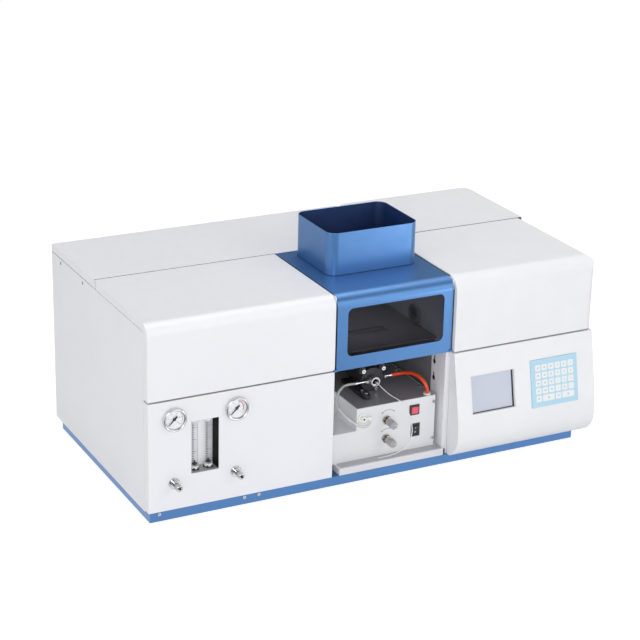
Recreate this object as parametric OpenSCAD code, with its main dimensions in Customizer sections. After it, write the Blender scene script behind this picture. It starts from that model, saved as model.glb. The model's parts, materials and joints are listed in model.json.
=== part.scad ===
// Bench atomic absorption spectrophotometer: a lamp module with the gas controls on the left, a burner
// bay under a hinged hood in the middle and a monochromator module with the controls on the right.
// Millimetres. X runs right, Y runs back, Z runs up.
// The origin is on the bench, under the middle of the case.

/* [Case] */
// Width of the lamp module
lamp_w = 404; // [390:1:460]
// Width of the burner bay
bay_w = 274; // [270:1:300]
// Width of the monochromator module
mono_w = 342; // [335:1:400]
// Depth of the case from the gas panel to the back
case_d = 531; // [515:1:580]
// Height of the case from the underside of its base to its lids
case_h = 414; // [400:1:440]
// Thickness of the sheet metal
sheet = 2; // [1.6:0.1:2.4]
// Radius of the fold along the top front edge of the covers
fold_r = 25; // [20:1:30]
// Depth of the rear lids
lid_d = 245; // [235:1:255]
// Height of the side flanges of the lids and covers
flange_h = 16; // [14:1:18]
// Depth of the return at the front left corner
corner_d = 21; // [18:1:26]
// Gap between the covers and the front panels
front_gap = 3.5; // [2:0.1:5]
// Height of the gas panel
panel_h = 233.5; // [228:0.5:240]

/* [Base] */
// Height that the rubber feet stand out under the base
foot_h = 3; // [2:0.5:8]
// Radius of a rubber foot
foot_r = 18; // [12:1:25]
// Height of the base pan
base_h = 20; // [16:1:26]
// Set-back of the base pan at its right end
base_right = 28; // [20:1:40]
// Set-back of the base pan at the back
base_back = 33; // [28:1:40]
// Set-back of the rear panel from the back edge of the lids
rear_recess = 23.5; // [22:0.5:30]

/* [Cover hinges] */
// Depth of the hinge axis under the top face
hinge_drop = 6; // [5.6:0.1:7]
// Length of a cover behind its hinge axis
hinge_tail = 8; // [7:0.5:10]
// Radius of a hinge pin
pin_r = 1.6; // [1.2:0.1:1.8]
// Thickness of a hinge ear
ear_t = 3; // [2:0.5:4]

/* [Hood] */
// Gap between the hood and the modules beside it
hood_gap = 3.5; // [3.4:0.1:5]
// Width of the window opening
window_w = 222; // [190:1:226]
// Height of the window opening
window_h = 103; // [80:1:104]
// Distance from the window opening up to the fold of the hood
window_drop = 4; // [4:1:10]
// Corner radius of the window opening
window_r = 12; // [6:1:20]
// Thickness of the smoked window
window_t = 3; // [2:0.5:5]
// Width of the chimney
chimney_w = 208; // [170:1:216]
// Depth of the chimney
chimney_d = 161; // [120:1:168]
// Height of the chimney above the hood
chimney_h = 91; // [60:1:140]
// Corner radius of the chimney
chimney_r = 22; // [8:1:28]
// Distance from the chimney to the seam of the rear lids
chimney_back = 14; // [13:1:40]

/* [Gauges and flowmeter] */
// Radius of a gauge bezel
gauge_r = 24; // [20:0.5:26]
// Height of the gauges above the base
gauge_z = 195; // [185:1:200]
// Distance of the first gauge from the left side
gauge_x = 54; // [45:1:60]
// Distance between the gauges
gauge_step = 133; // [126:1:140]
// Width of the flowmeter opening
flow_w = 59; // [52:1:64]
// Height of the flowmeter opening
flow_h = 112; // [90:1:118]
// Height of the flowmeter opening above the base
flow_z = 70; // [66:1:76]
// Depth of the flowmeter housing
flow_d = 34; // [28:1:45]
// Outer radius of a flow tube
flow_tube_r = 7; // [6:0.5:9]
// Radius of the bore of a flow tube
flow_bore_r = 5.4; // [4.5:0.1:5.6]
// Height of the needle valves above the base
valve_z = 57; // [48:1:62]
// Radius of a needle valve knob
valve_knob_r = 7; // [5:0.5:9]

/* [Burner bay] */
// Distance from the gas panel plane back to the light path
beam_back = 148; // [140:1:156]
// Depth of the light path under the top of the case
beam_drop = 127; // [122:1:132]
// Radius of the beam ports
port_r = 22; // [20:1:24]
// Height of the drip tray
tray_h = 15; // [12:1:20]
// Width of the gas box
box_w = 248; // [240:1:250]
// Depth of the gas box
box_d = 187; // [180:1:200]
// Height of the gas box
box_h = 115; // [110:1:118]
// Width of the low part of the gas box
box_low_w = 62; // [50:1:66]
// Height of the low part of the gas box
box_low_h = 66; // [55:1:72]
// Set-back of the gas box from the gas panel plane
box_back = 25; // [20:1:30]
// Radius of a gas box knob
box_knob_r = 8; // [5:0.5:9]
// Width of the red push button
button_w = 16; // [12:0.5:18]
// Travel of the red push button
button_travel = 3; // [2:0.5:4]
// Width of the rocker switch
rocker_w = 13; // [11:0.5:15]
// Height of the rocker switch
rocker_h = 22; // [19:0.5:24]

/* [Burner] */
// Radius of the mixing chamber
chamber_r = 22; // [18:1:24]
// Length of the mixing chamber behind its flange
chamber_l = 95; // [85:1:105]
// Height of the chamber axis above the gas box
chamber_rise = 27; // [26:1:30]
// Travel of the burner up from its parked place
lift_travel = 14; // [8:1:15]
// Length of the burner head
head_l = 110; // [90:1:130]
// Width of the burner head
head_w = 26; // [20:1:32]
// Module of the rack and pinion that lift the burner
gear_m = 0.8; // [0.7:0.05:0.9]
// Teeth of the pinion
gear_teeth = 16; // [14:1:18]

/* [Lamps] */
// Radius of a hollow cathode lamp
lamp_r = 18; // [15:0.5:19]
// Length of a hollow cathode lamp
lamp_l = 170; // [140:1:180]
// Radius of the ring that the lamps stand on
lamp_ring_r = 40; // [38:1:42]

/* [Controls] */
// Wall of the moulded covers of the monochromator module
mono_wall = 4; // [3:0.5:5]
// Radius of the fold along the top front edge of the monochromator cover
mono_fold_r = 34; // [24:1:40]
// Radius of the right edges of the monochromator cover
mono_edge_r = 18; // [10:1:24]
// Distance that the control fascia stands out in front of the gas panel
bulge = 40; // [34:1:46]
// Height of the fullest point of the fascia above the base
belly_z = 52; // [48:1:54]
// Lean of the flat part of the fascia, in degrees
lean = 11.5; // [9:0.5:13]
// Radius of the fascia above its fullest point
belly_upper_r = 250; // [200:10:280]
// Radius of the fascia below its fullest point
belly_lower_r = 58; // [57:1:62]
// Depth of the display behind the face of the fascia
display_recess = 8; // [5:0.5:10]
// Width of the display opening
display_w = 106; // [80:1:110]
// Height of the display opening
display_h = 82; // [60:1:84]
// Distance from the burner bay to the middle of the display
display_in = 89; // [80:1:92]
// Distance from the burner bay to the middle of the keypad
keypad_in = 240; // [232:1:250]
// Depth of the middle of the controls under the top of the fascia
controls_drop = 93.5; // [88:0.5:96]
// Width of the keypad
keypad_w = 116; // [100:1:124]
// Height of the keypad
keypad_h = 103; // [86:1:104]
// Width of one key
key_w = 14.4; // [9:0.1:16]

/* [Hidden] */
$fn = 48;

// Overlap that lets a cut pass cleanly through a face
cut = 1;
// Radial clearance of a shaft that turns or slides in its hole
running = 0.05;
// Clearance between pieces that are put together by hand
fit_gap = 0.2;
// Clearance beside pieces that move
move_gap = 0.4;

// Sheet metal round the burner bay: the slack beside its bulkheads and the post behind its front edge
frame_slack = 0.75;
post_t = 7;
// Clearance of the gas box from the left bulkhead, and the least from the post at its right
box_gap = 2.75;
post_gap = 8;

// Case planes. The bay is at least as wide as its gas box needs.
bay_span = max(bay_w, box_w + box_gap + post_gap + post_t + 2 * (frame_slack + sheet));
total_w = lamp_w + bay_span + mono_w;
total_d = case_d + bulge;
left_x = -total_w / 2;
bay_left_x = left_x + lamp_w;
bay_right_x = bay_left_x + bay_span;
right_x = total_w / 2;
back_y = total_d / 2;
front_y = back_y - case_d;
base_z = foot_h + base_h;
top_z = foot_h + case_h;
seam_y = back_y - lid_d;
swing_gap = 0.5;
lid_gap = norm([hinge_tail, hinge_drop]) - hinge_tail + swing_gap;
cover_back_y = seam_y - lid_gap / 2;
lid_front_y = seam_y + lid_gap / 2;
panel_top_z = base_z + panel_h;
cover_low_z = panel_top_z + front_gap;
flange_low_z = top_z - flange_h;
rear_y = back_y - rear_recess;
base_right_x = right_x - base_right;
base_back_y = back_y - base_back;
mono_top_z = top_z - sheet + mono_wall;
lid_split_x = bay_right_x;

// Hinge axis of the lamp cover and the hood
hinge_y = cover_back_y - hinge_tail;
hinge_z = top_z - hinge_drop;
ear_r = hinge_drop + 1;
boss_r = hinge_drop - sheet - move_gap;
lug_drop = norm([hinge_tail, hinge_drop]) + 1;
lug_h = 8;
stop_y = hinge_y - sqrt(pow(ear_r - swing_gap, 2) - pow(hinge_drop, 2));
pin_reach = 14;

// Inner frame
lamp_wall_x = bay_left_x + frame_slack;
mono_wall_x = bay_right_x - frame_slack - sheet;
partition_y = lid_front_y + 4;
frame_front_y = front_y + 5;
frame_back_y = rear_y - 24;
frame_top_z = top_z - sheet;
post_d = 56;
post_front_y = front_y + 9;
post_back_y = post_front_y + post_d;

// Light path
beam_y = front_y + beam_back;
beam_z = top_z - beam_drop;
deck_z = beam_z - port_r;
lens_r = port_r - 8;
lens_t = 4;
lens_rim = 8;
lens_lip = 2;
lamp_lens_x = lamp_wall_x + sheet + lens_rim - lens_lip - lens_t;
mono_lens_x = mono_wall_x - lens_rim + lens_lip;

// Hood
hood_left_x = bay_left_x + hood_gap;
hood_right_x = bay_right_x - hood_gap;
hood_low_z = panel_top_z + 0.5;
hood_x = (hood_left_x + hood_right_x) / 2;
window_x = hood_x + 1.5;
window_z = top_z - fold_r - window_drop - window_h / 2;
pane_lap = 4;
chimney_x = hood_x + 7;
chimney_y = seam_y - chimney_back - chimney_d / 2;

// Gas panel
gauge_xs = [left_x + gauge_x, left_x + gauge_x + gauge_step];
gauge_height = base_z + gauge_z;
gauge_body_r = gauge_r - 2;
gauge_body_l = 28;
gauge_rim = 9;
dial_z = 1;
needle_z = 3.4;
needle_t = 1.2;
glass_z = 6;
glass_t = 2;
spindle_r = 1;
flow_x = (gauge_xs[0] + gauge_xs[1]) / 2;
flow_low_z = base_z + flow_z;
flow_tube_xs = [flow_x - flow_w / 4, flow_x + flow_w / 4];
flow_tube_y = front_y + sheet + flow_d / 2;
flow_cap_h = 9;
float_h = 10;
valve_height = base_z + valve_z;
valve_stem_r = 3;
valve_reach = 30;
valve_bush_h = 12;
bush_r = 6;
bush_l = 20;

// Burner bay
tray_z = base_z + tray_h;
tray_left_x = bay_left_x + 17.5;
tray_right_x = mono_wall_x - post_t;
box_front_y = front_y + box_back;
box_back_y = box_front_y + box_d;
box_left_x = lamp_wall_x + sheet + box_gap;
box_right_x = box_left_x + box_w;
box_step_x = box_left_x + box_low_w;
box_top_z = tray_z + box_h;
box_ledge = 12;
box_bush_h = 15;
box_knob_l = 20.5;
knob_x = box_step_x + 69;
height_knob_z = box_top_z - 35;
trim_knob_z = box_top_z - 77;
button_x = box_right_x - 50;
button_z = box_top_z - 25;
rocker_x = box_right_x - 46;
rocker_z = box_top_z - 71;
rocker_tilt = 8;
rocker_pin_r = 1.2;
rocker_pin_l = 1.2;
rocker_axis_y = box_front_y + 2;
bezel_t = 2;
bezel_rim = 2;
bezel_l = 8;
button_proud = 5;
button_l = 19;
fitting_x = box_step_x + 12;
fitting_z = box_top_z - 21;
grommet_x = box_right_x - 14;
grommet_y = box_front_y + 11;
grommet_r = 6;
nozzle_r = 2.6;
nozzle_reach = 15.5;

// Burner
gear_r = gear_m * gear_teeth / 2;
gear_face = 10;
rack_x = knob_x + gear_r;
post_w = 16;
stand_x = rack_x + 1.25 * gear_m;
burner_x = stand_x - 3.9;
rack_room = 3;
stand_gap = 0.3;
chamber_z = box_top_z + chamber_rise;
chamber_front_y = beam_y - 42;
flange_t = 10;
flange_r = chamber_r + 4;
flange_y = chamber_front_y - flange_t;
boss_reach = flange_r + 4;
fitting_l = 18;
nebulizer_r = 8;
nebulizer_reach = 21.5;
nebulizer_boss = 14;
air_fitting_l = 30;
air_fitting_y = flange_y - 6;
ear_ring = 23.5;
neck_r = 14;
head_h = 27;
head_top_z = deck_z - 1;

// Lamps
turret_z = beam_z + lamp_ring_r;
turret_r = lamp_ring_r + lamp_r + 4;
turret_shaft_r = 6;
turret_x = bay_left_x - 90;
bracket_t = 5;
bracket_gap = lamp_l + 30;
lamp_deck_z = panel_top_z - sheet;

// Fascia outline: its fullest point, the tangent point above it and its top edge
belly_y = -total_d / 2;
belly_height = base_z + belly_z;
tangent_y = belly_y + belly_upper_r * (1 - cos(lean));
tangent_z = belly_height + belly_upper_r * sin(lean);
fascia_top_z = panel_top_z - 2;
fascia_top_y = tangent_y + (fascia_top_z - tangent_z) * tan(lean);
fascia_back_y = front_y + 8;
fascia_low_a = asin(belly_z / belly_lower_r);
mono_low_z = fascia_top_z + front_gap;
display_x = bay_right_x + display_in;
keypad_x = bay_right_x + keypad_in;
controls_z = fascia_top_z - controls_drop;
display_t = 5;
keypad_t = 4;
pocket_d = 2;
seat = 0.002;
key_rows = [[1, 1, 1, 1, 1, 1], [1, 1, 1, 1, 1, 1], [1, 1, 1, 1, 1, 1], [1, 1, 1, 1, 1, 1], [1, 2, 1, 2]];
key_step_x = (keypad_w - 17.6) / 6;
key_step_z = (keypad_h - 19.5) / 5;
key_x = min(key_w, key_step_x - 1);
key_h = min(key_w, key_step_z - 1);
key_t = 0.4;

// Inside the monochromator module
housing_x = bay_right_x + 26;
housing_w = 236;
housing_y = beam_y - 96;
housing_d = 290;
housing_h = 124;
housing_wall = 6;
housing_leg = 26;
housing_low_z = beam_z - housing_h / 2;
supply_x = housing_x + 40;
supply_w = 180;
supply_h = 90;
supply_front_y = housing_y + housing_d + 35;
supply_back_y = rear_y - 30;
grating_x = housing_x + housing_w - 60;
grating_y = beam_y + 20;
grating_pin_r = 4;
grating_pin_l = 26;

// Cord routes, chosen by hand. Their ends follow the fittings that they join.
function carry(route, first, last) =
  let (n = len(route) - 1)
  [
    for (i = [0 : n])
      let (w = min(1, max(0, (i - 1) / (n - 2))))
      route[i] + (1 - w) * (first - route[0]) + w * (last - route[n])
  ];
hose_r = 3.8;
fuel_hose_route = carry(
  [
    [82.2, -144.5, 180], [90.5, -144.7, 180.1], [99, -147.8, 181.6], [106, -153.2, 183.7],
    [111.7, -160.2, 185.7], [116.1, -168, 187.2], [119.7, -176.2, 187.7], [122.9, -184.5, 186.9],
    [125.9, -192.5, 184.2], [128.8, -199.7, 179.6], [131.4, -205.3, 173], [133.3, -209.1, 164.8],
    [133.5, -209.5, 156.2]
  ],
  [burner_x + boss_reach + fitting_l + fit_gap, (flange_y + chamber_front_y) / 2, chamber_z],
  [grommet_x, grommet_y, box_top_z + 3 + fit_gap]
);
tube_r = 2.5;
nozzle_drop = 5;
air_tube_route = carry(
  [
    [-10.2, -155.5, 180], [-15.8, -155.5, 180.1], [-21.4, -155.8, 180.5], [-26.9, -156.6, 181],
    [-32.4, -158, 181.1], [-37.7, -159.8, 180.7], [-42.7, -162.1, 179.6], [-47.4, -164.5, 177.8],
    [-51.8, -167.1, 175.4], [-55.8, -169.9, 172.6], [-59.3, -172.9, 169.4], [-62.5, -176.2, 166.1],
    [-65.2, -179.8, 162.9], [-67.4, -184, 159.8], [-69.2, -188.6, 157.2], [-70.4, -193.5, 154.7],
    [-70.6, -198.6, 152.4], [-70, -203.5, 149.8], [-68.5, -208.2, 147], [-66.4, -212.3, 143.9],
    [-63.7, -215.8, 140.4], [-60.5, -218.7, 136.8], [-56.7, -221, 133.3], [-52.7, -222.7, 129.8],
    [-48.3, -223.7, 126.4], [-43.9, -224.2, 123], [-39.4, -224.3, 119.7], [-34.7, -224.5, 116.6],
    [-29.6, -224.9, 114.2], [-24.2, -225.8, 113], [-19, -226.9, 113.6], [-14.5, -227.8, 116.6],
    [-11.5, -228, 121.3], [-11, -228, 126.8]
  ],
  [burner_x - nebulizer_boss - air_fitting_l - fit_gap, air_fitting_y, chamber_z],
  [fitting_x + nozzle_reach, box_front_y - 7.5, fitting_z - nozzle_drop - fit_gap]
);
capillary_r = 0.9;
capillary_route = carry(
  [
    [34, -171, 180], [34, -173, 180], [34, -175, 180], [41, -187, 171], [50, -201, 162], [60, -220, 156],
    [68, -228, 150], [78, -233, 128], [86, -233, 100], [86, -234, 78], [76, -236, 57], [56, -234, 44],
    [32, -233, 39.6], [8, -233, 39.2]
  ],
  [burner_x, flange_y - nebulizer_reach, chamber_z],
  [tray_left_x + 96.5, front_y + 12.5, tray_z + 1.2]
);

// Screws
screw_r = 1.5;
screw_head_r = 3.5;
screw_head_h = 1.8;
side_screws = [[back_y - 54, flange_low_z - 11], [back_y - 184, flange_low_z - 11]];
base_screws = [left_x + 22, left_x + 206, left_x + 238];
base_screw_z = base_z - 4.2;
box_screw_x = box_right_x - 4;
box_screw_zs = [box_top_z - 14, tray_z + 18];
top_screw_x = box_right_x - sheet - box_ledge / 2;
top_screw_ys = [box_back_y - 32, box_back_y - 135];

// Rear of the case
inlet_w = 28;
inlet_h = 48;
inlet_x = bay_right_x + 180;
inlet_z = base_z + 70;
gas_inlet_xs = [left_x + 90, left_x + 150];
gas_inlet_z = base_z + 90;
gas_inlet_r = 5;
gas_thread_r = 8;
gas_hex_t = 5;
gas_spigot_l = 14;
vent_count = 7;
vent_w = 90;

// A box between two opposite corners
module block(low, high) {
  translate(low) cube(high - low);
}

// Extrudes a profile drawn in Y and Z from one X to another
module along_x(x0, x1) {
  translate([x0, 0, 0]) rotate([90, 0, 90]) linear_extrude(x1 - x0) children();
}

// Extrudes a profile drawn in X and Z from one Y to another
module along_y(y0, y1) {
  translate([0, y1, 0]) rotate([90, 0, 0]) linear_extrude(y1 - y0) children();
}

// A round bar along X
module bar_x(x0, x1, y, z, r) {
  translate([x0, y, z]) rotate([0, 90, 0]) cylinder(h = x1 - x0, r = r);
}

// A round bar along Y
module bar_y(x, y0, y1, z, r) {
  translate([x, y1, z]) rotate([90, 0, 0]) cylinder(h = y1 - y0, r = r);
}

// A round bar along Z
module bar_z(x, y, z0, z1, r) {
  translate([x, y, z0]) cylinder(h = z1 - z0, r = r);
}

// A flat rectangle with round corners, centred
module round_plate(w, h, r) {
  square([w - 2 * r, h], center = true);
  square([w, h - 2 * r], center = true);
  for (x = [-1, 1], z = [-1, 1])
    translate([x * (w / 2 - r), z * (h / 2 - r)]) circle(r);
}

// The region under a folded cover: its front edge, back edge, low edge, top and fold radius
module fold_area(y0, y1, z0, z1, r) {
  translate([y0 + r, z0]) square([y1 - y0 - r, z1 - z0]);
  translate([y0, z0]) square([r, z1 - z0 - r]);
  intersection() {
    translate([y0 + r, z1 - r]) circle(r);
    translate([y0, z1 - r]) square(r);
  }
}

// A folded sheet of one thickness, with a top and a front
module fold_sheet(y0, y1, z0, z1, r, t) {
  difference() {
    fold_area(y0, y1, z0, z1, r);
    fold_area(y0 + t, y1 + cut, z0 - cut, z1 - t, r - t);
  }
}

// The side flange of a folded cover, along its top and its front
module fold_flange(y0, y1, z0, z1, r, top_depth, front_depth) {
  difference() {
    fold_area(y0, y1, z0, z1, r);
    translate([y0 + front_depth, z0 - cut]) square([y1 - y0, z1 - top_depth - z0 + cut]);
  }
}

// A hinge ear under a cover, bored for its pin
module hinge_ear(x0) {
  difference() {
    block([x0, hinge_y - ear_r, hinge_z - ear_r], [x0 + ear_t, hinge_y + hinge_tail, top_z - sheet]);
    bar_x(x0 - cut, x0 + ear_t + cut, hinge_y, hinge_z, pin_r + running);
  }
}

// Places children on the flat part of the fascia: X right, Y up the slope, Z outwards
module on_fascia(x, z) {
  translate([x, fascia_top_y - (fascia_top_z - z) * tan(lean), z]) rotate([90 - lean, 0, 0]) children();
}

// Points on a smooth curve through a list of points
function curve_point(p, i, t) =
  let (
    a = p[max(i - 1, 0)],
    b = p[i],
    c = p[i + 1],
    d = p[min(i + 2, len(p) - 1)]
  )
  0.5 * (2 * b + (c - a) * t + (2 * a - 5 * b + 4 * c - d) * t * t + (3 * b - a - 3 * c + d) * t * t * t);
function curve(p, n) = concat(
  [for (i = [0 : len(p) - 2], k = [0 : n - 1]) curve_point(p, i, k / n)],
  [p[len(p) - 1]]
);

// A tube swept along points, with a side direction that no part of the route runs along
module swept_tube(points, r, sides, side) {
  last = len(points) - 1;
  rings = [
    for (i = [0 : last])
      let (
        run = points[min(i + 1, last)] - points[max(i - 1, 0)],
        t = run / norm(run),
        s = cross(t, side),
        u = s / norm(s),
        v = cross(t, u)
      )
      for (k = [0 : sides - 1]) points[i] + r * (u * cos(360 * k / sides) + v * sin(360 * k / sides))
  ];
  walls = [
    for (i = [0 : last - 1], k = [0 : sides - 1])
      let (n = (k + 1) % sides, a = i * sides, b = a + sides)
      each [[a + k, b + k, b + n], [a + k, b + n, a + n]]
  ];
  first_cap = [for (k = [1 : sides - 2]) [0, k, k + 1]];
  last_cap = [for (k = [1 : sides - 2]) [last * sides, last * sides + k + 1, last * sides + k]];
  polyhedron(points = rings, faces = concat(walls, first_cap, last_cap));
}

// Outline of the fascia, drawn in Y and Z, moved in from the outer face by a wall and run past its back
function fascia_points(wall, over) = concat(
  [
    [fascia_back_y + over, fascia_top_z - wall],
    [fascia_top_y - wall * tan(lean) + wall / cos(lean), fascia_top_z - wall]
  ],
  [
    for (k = [6 : -1 : 0])
      let (a = lean * k / 6, r = belly_upper_r - wall)
      [belly_y + belly_upper_r - r * cos(a), belly_height + r * sin(a)]
  ],
  [
    for (k = [1 : 12])
      let (a = fascia_low_a * k / 12, r = belly_lower_r - wall)
      [belly_y + belly_lower_r - r * cos(a), belly_height - r * sin(a)]
  ],
  [[fascia_back_y + over, belly_height - (belly_lower_r - wall) * sin(fascia_low_a)]]
);

// Involute angle of a pressure angle, in degrees
function involute(a) = tan(a) * 180 / PI - a;

// Outline of the pinion, with a tooth that points along X
pressure = 20;
gear_play = 0.12;
function flank(r, base_r) =
  let (half = 90 / gear_teeth - gear_play / gear_r * 180 / PI)
  half + involute(pressure) - involute(acos(min(1, base_r / r)));
function pinion_points() =
  let (
    base_r = gear_r * cos(pressure),
    tip_r = gear_r + 0.9 * gear_m,
    root_r = gear_r - 1.2 * gear_m,
    radii = [for (k = [0 : 4]) base_r + (tip_r - base_r) * k / 4]
  )
  [
    for (tooth = [0 : gear_teeth - 1])
      let (
        mid = tooth * 360 / gear_teeth,
        low = flank(base_r, base_r),
        rise = [for (r = radii) [r, mid - flank(r, base_r)]],
        fall = [for (k = [4 : -1 : 0]) [radii[k], mid + flank(radii[k], base_r)]]
      )
      each [
        for (q = concat([[root_r, mid - low]], rise, fall, [[root_r, mid + low]]))
          q[0] * [cos(q[1]), sin(q[1])]
      ]
  ];

module base_pan() {
  color("#4A84C4") difference() {
    block([left_x + sheet, front_y, foot_h], [base_right_x, base_back_y, base_z]);
    block(
      [left_x + 2 * sheet, front_y + sheet, foot_h - cut],
      [base_right_x - sheet, base_back_y - sheet, base_z - sheet]
    );
    for (x = base_screws)
      bar_y(x, front_y - cut, front_y + sheet + cut, base_screw_z, screw_r + fit_gap);
  }
}

module base_feet() {
  inset = foot_r + 30;
  color("#202022")
    for (x = [left_x + inset, base_right_x - inset], y = [front_y + inset, base_back_y - inset])
      bar_z(x, y, 0, base_z - sheet, foot_r);
}

// The side screws' cones, sunk into a side panel whose outer face is at x, grown by a clearance
module side_cones(x, way, grow) {
  for (p = side_screws)
    translate([x, p[0], p[1]]) rotate([0, 90 * way, 0]) translate([0, 0, -sheet])
      cylinder(h = sheet, r1 = screw_r + grow, r2 = screw_head_r + grow);
}

module left_side_panel() {
  color("#D8DBE3") difference() {
    block([left_x, front_y + corner_d + 1, base_z - 4], [left_x + sheet, back_y, flange_low_z - 0.8]);
    side_cones(left_x, -1, fit_gap);
  }
}

module right_side_panel() {
  flange_w = base_right + 20;
  color("#D8DBE3") difference() {
    union() {
      along_x(right_x - sheet, right_x) polygon([
        [fascia_back_y, base_z - 4], [back_y, base_z - 4], [back_y, flange_low_z],
        [lid_front_y, flange_low_z],
        [lid_front_y, mono_low_z], [fascia_back_y, mono_low_z]
      ]);
      block([right_x - flange_w, fascia_back_y, base_z], [right_x - sheet, frame_back_y, base_z + sheet]);
    }
    side_cones(right_x, 1, fit_gap);
  }
}

module rear_panel() {
  y0 = rear_y - cut;
  y1 = rear_y + sheet + cut;
  color("#D8DBE3") difference() {
    along_x(left_x + sheet, right_x - sheet) union() {
      translate([rear_y, base_z]) square([sheet, top_z - sheet - base_z]);
      translate([rear_y - 22, base_z]) square([22, sheet]);
      translate([rear_y - 16, top_z - 2 * sheet]) square([16, sheet]);
    }
    translate([inlet_x, 0, inlet_z]) block([-inlet_w / 2, y0, -inlet_h / 2], [inlet_w / 2, y1, inlet_h / 2]);
    for (x = gas_inlet_xs)
      bar_y(x, y0, y1, gas_inlet_z, gas_thread_r + fit_gap);
    for (i = [0 : vent_count - 1])
      translate([inlet_x, 0, inlet_z + 80 + 12 * i]) block([-vent_w / 2, y0, 0], [vent_w / 2, y1, 5]);
  }
}

module rear_lid_left() {
  lid_right_x = lid_split_x - 0.8;
  color("#E0E0E4") {
    block([left_x, lid_front_y, top_z - sheet], [lid_right_x, back_y, top_z]);
    block([left_x, lid_front_y, flange_low_z], [left_x + sheet, back_y, top_z - sheet]);
    block([left_x, stop_y, flange_low_z], [left_x + sheet, lid_front_y, top_z]);
    block([left_x + sheet, back_y - sheet, flange_low_z], [lid_right_x, back_y, top_z - sheet]);
  }
}

module rear_lid_right() {
  corner_r = 22;
  w = right_x - lid_split_x;
  d = back_y - lid_front_y;
  color("#F2F2F4") difference() {
    translate([lid_split_x, lid_front_y, flange_low_z]) linear_extrude(mono_top_z - flange_low_z) {
      square([w, d - corner_r]);
      translate([corner_r, 0]) square([w - 2 * corner_r, d]);
      for (x = [corner_r, w - corner_r])
        translate([x, d - corner_r]) circle(corner_r);
    }
    translate([lid_split_x, lid_front_y, flange_low_z - cut])
      linear_extrude(mono_top_z - mono_wall - flange_low_z + cut) {
        translate([-cut, -cut]) square([w - sheet + cut, d - corner_r + cut]);
        translate([-cut, -cut]) square([w - corner_r + cut, d - sheet + cut]);
        translate([w - corner_r, d - corner_r]) circle(corner_r - sheet);
      }
  }
}

// Keyhole in the front return of the right bulkhead: a round hole with a slot above it
module keyhole(y, z) {
  bar_x(mono_wall_x - post_t - cut, mono_wall_x - post_t + 4, y, z, 5.5);
  block([mono_wall_x - post_t - cut, y - 2.5, z], [mono_wall_x - post_t + 4, y + 2.5, z + 13]);
}

module inner_frame() {
  post_low_z = base_z + 10;
  post_high_z = panel_top_z - 4;
  keyhole_y = post_front_y + 45;
  lap = sheet / 2;
  lug_x = left_x + sheet + move_gap;
  lug_low_z = hinge_z - lug_drop - lug_h;
  color("#D9DADE") difference() {
    union() {
      for (x = [lamp_wall_x, mono_wall_x])
        block([x, frame_front_y, base_z], [x + sheet, frame_back_y, frame_top_z]);
      block([left_x + sheet, partition_y, base_z], [mono_wall_x + lap, partition_y + sheet, frame_top_z]);
      block(
        [left_x + sheet, partition_y, frame_top_z - sheet],
        [mono_wall_x + lap, partition_y + 20, frame_top_z]
      );
      block([mono_wall_x - post_t, post_front_y, post_low_z], [mono_wall_x + lap, post_back_y, post_high_z]);
      bar_x(lug_x, lug_x + ear_t, hinge_y, hinge_z, boss_r);
      along_x(lug_x, lug_x + ear_t) polygon([
        [hinge_y - boss_r, hinge_z], [hinge_y, hinge_z], [hinge_y, hinge_z - lug_drop],
        [partition_y + lap, hinge_z - lug_drop], [partition_y + lap, lug_low_z], [hinge_y - boss_r, lug_low_z]
      ]);
    }
    for (z = [post_high_z - 36, post_high_z - 73])
      keyhole(keyhole_y, z);
    for (x = [lamp_wall_x, mono_wall_x])
      bar_x(x - cut, x + sheet + cut, beam_y, beam_z, port_r - 3 + fit_gap);
    bar_x(left_x, mono_wall_x + sheet + cut, hinge_y, hinge_z, pin_r + running / 2);
  }
}

module hinge_pins() {
  left_pin_x = left_x + sheet + move_gap;
  color("#B8B9BC") {
    bar_x(left_pin_x, left_pin_x + pin_reach, hinge_y, hinge_z, pin_r);
    bar_x(lamp_wall_x - pin_reach, lamp_wall_x + sheet + pin_reach, hinge_y, hinge_z, pin_r);
    bar_x(mono_wall_x - pin_reach, mono_wall_x + sheet, hinge_y, hinge_z, pin_r);
  }
}

// A screw with a round head, seated at the origin, its head along Z
module screw(length) {
  cylinder(h = screw_head_h, r = screw_head_r);
  translate([0, 0, -length]) cylinder(h = length, r = screw_r);
}

module case_screws() {
  color("#A9AAAD") {
    side_cones(left_x, -1, 0);
    side_cones(right_x, 1, 0);
    for (p = side_screws) {
      bar_x(left_x + sheet, left_x + sheet + 5, p[0], p[1], screw_r);
      bar_x(right_x - sheet - 5, right_x - sheet, p[0], p[1], screw_r);
    }
    for (x = base_screws)
      translate([x, front_y, base_screw_z]) rotate([90, 0, 0]) screw(8);
    for (z = box_screw_zs)
      translate([box_screw_x, box_front_y, z]) rotate([90, 0, 0]) screw(6);
    for (y = top_screw_ys)
      translate([top_screw_x, y, box_top_z]) screw(6);
  }
}

module lamp_cover() {
  flange_end_y = hinge_y - ear_r;
  color("#EDEDF0") {
    difference() {
      along_x(left_x, bay_left_x) fold_sheet(front_y, cover_back_y, cover_low_z, top_z, fold_r, sheet);
      block(
        [left_x - cut, flange_end_y, top_z - sheet - cut],
        [left_x + sheet + move_gap, seam_y, top_z + cut]
      );
    }
    for (x = [left_x, bay_left_x - sheet])
      along_x(x, x + sheet)
        fold_flange(front_y, flange_end_y, cover_low_z, top_z, fold_r, flange_h, corner_d);
    hinge_ear(left_x + sheet + ear_t + 2);
    hinge_ear(lamp_wall_x - 2 - ear_t - sheet);
  }
}

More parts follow.
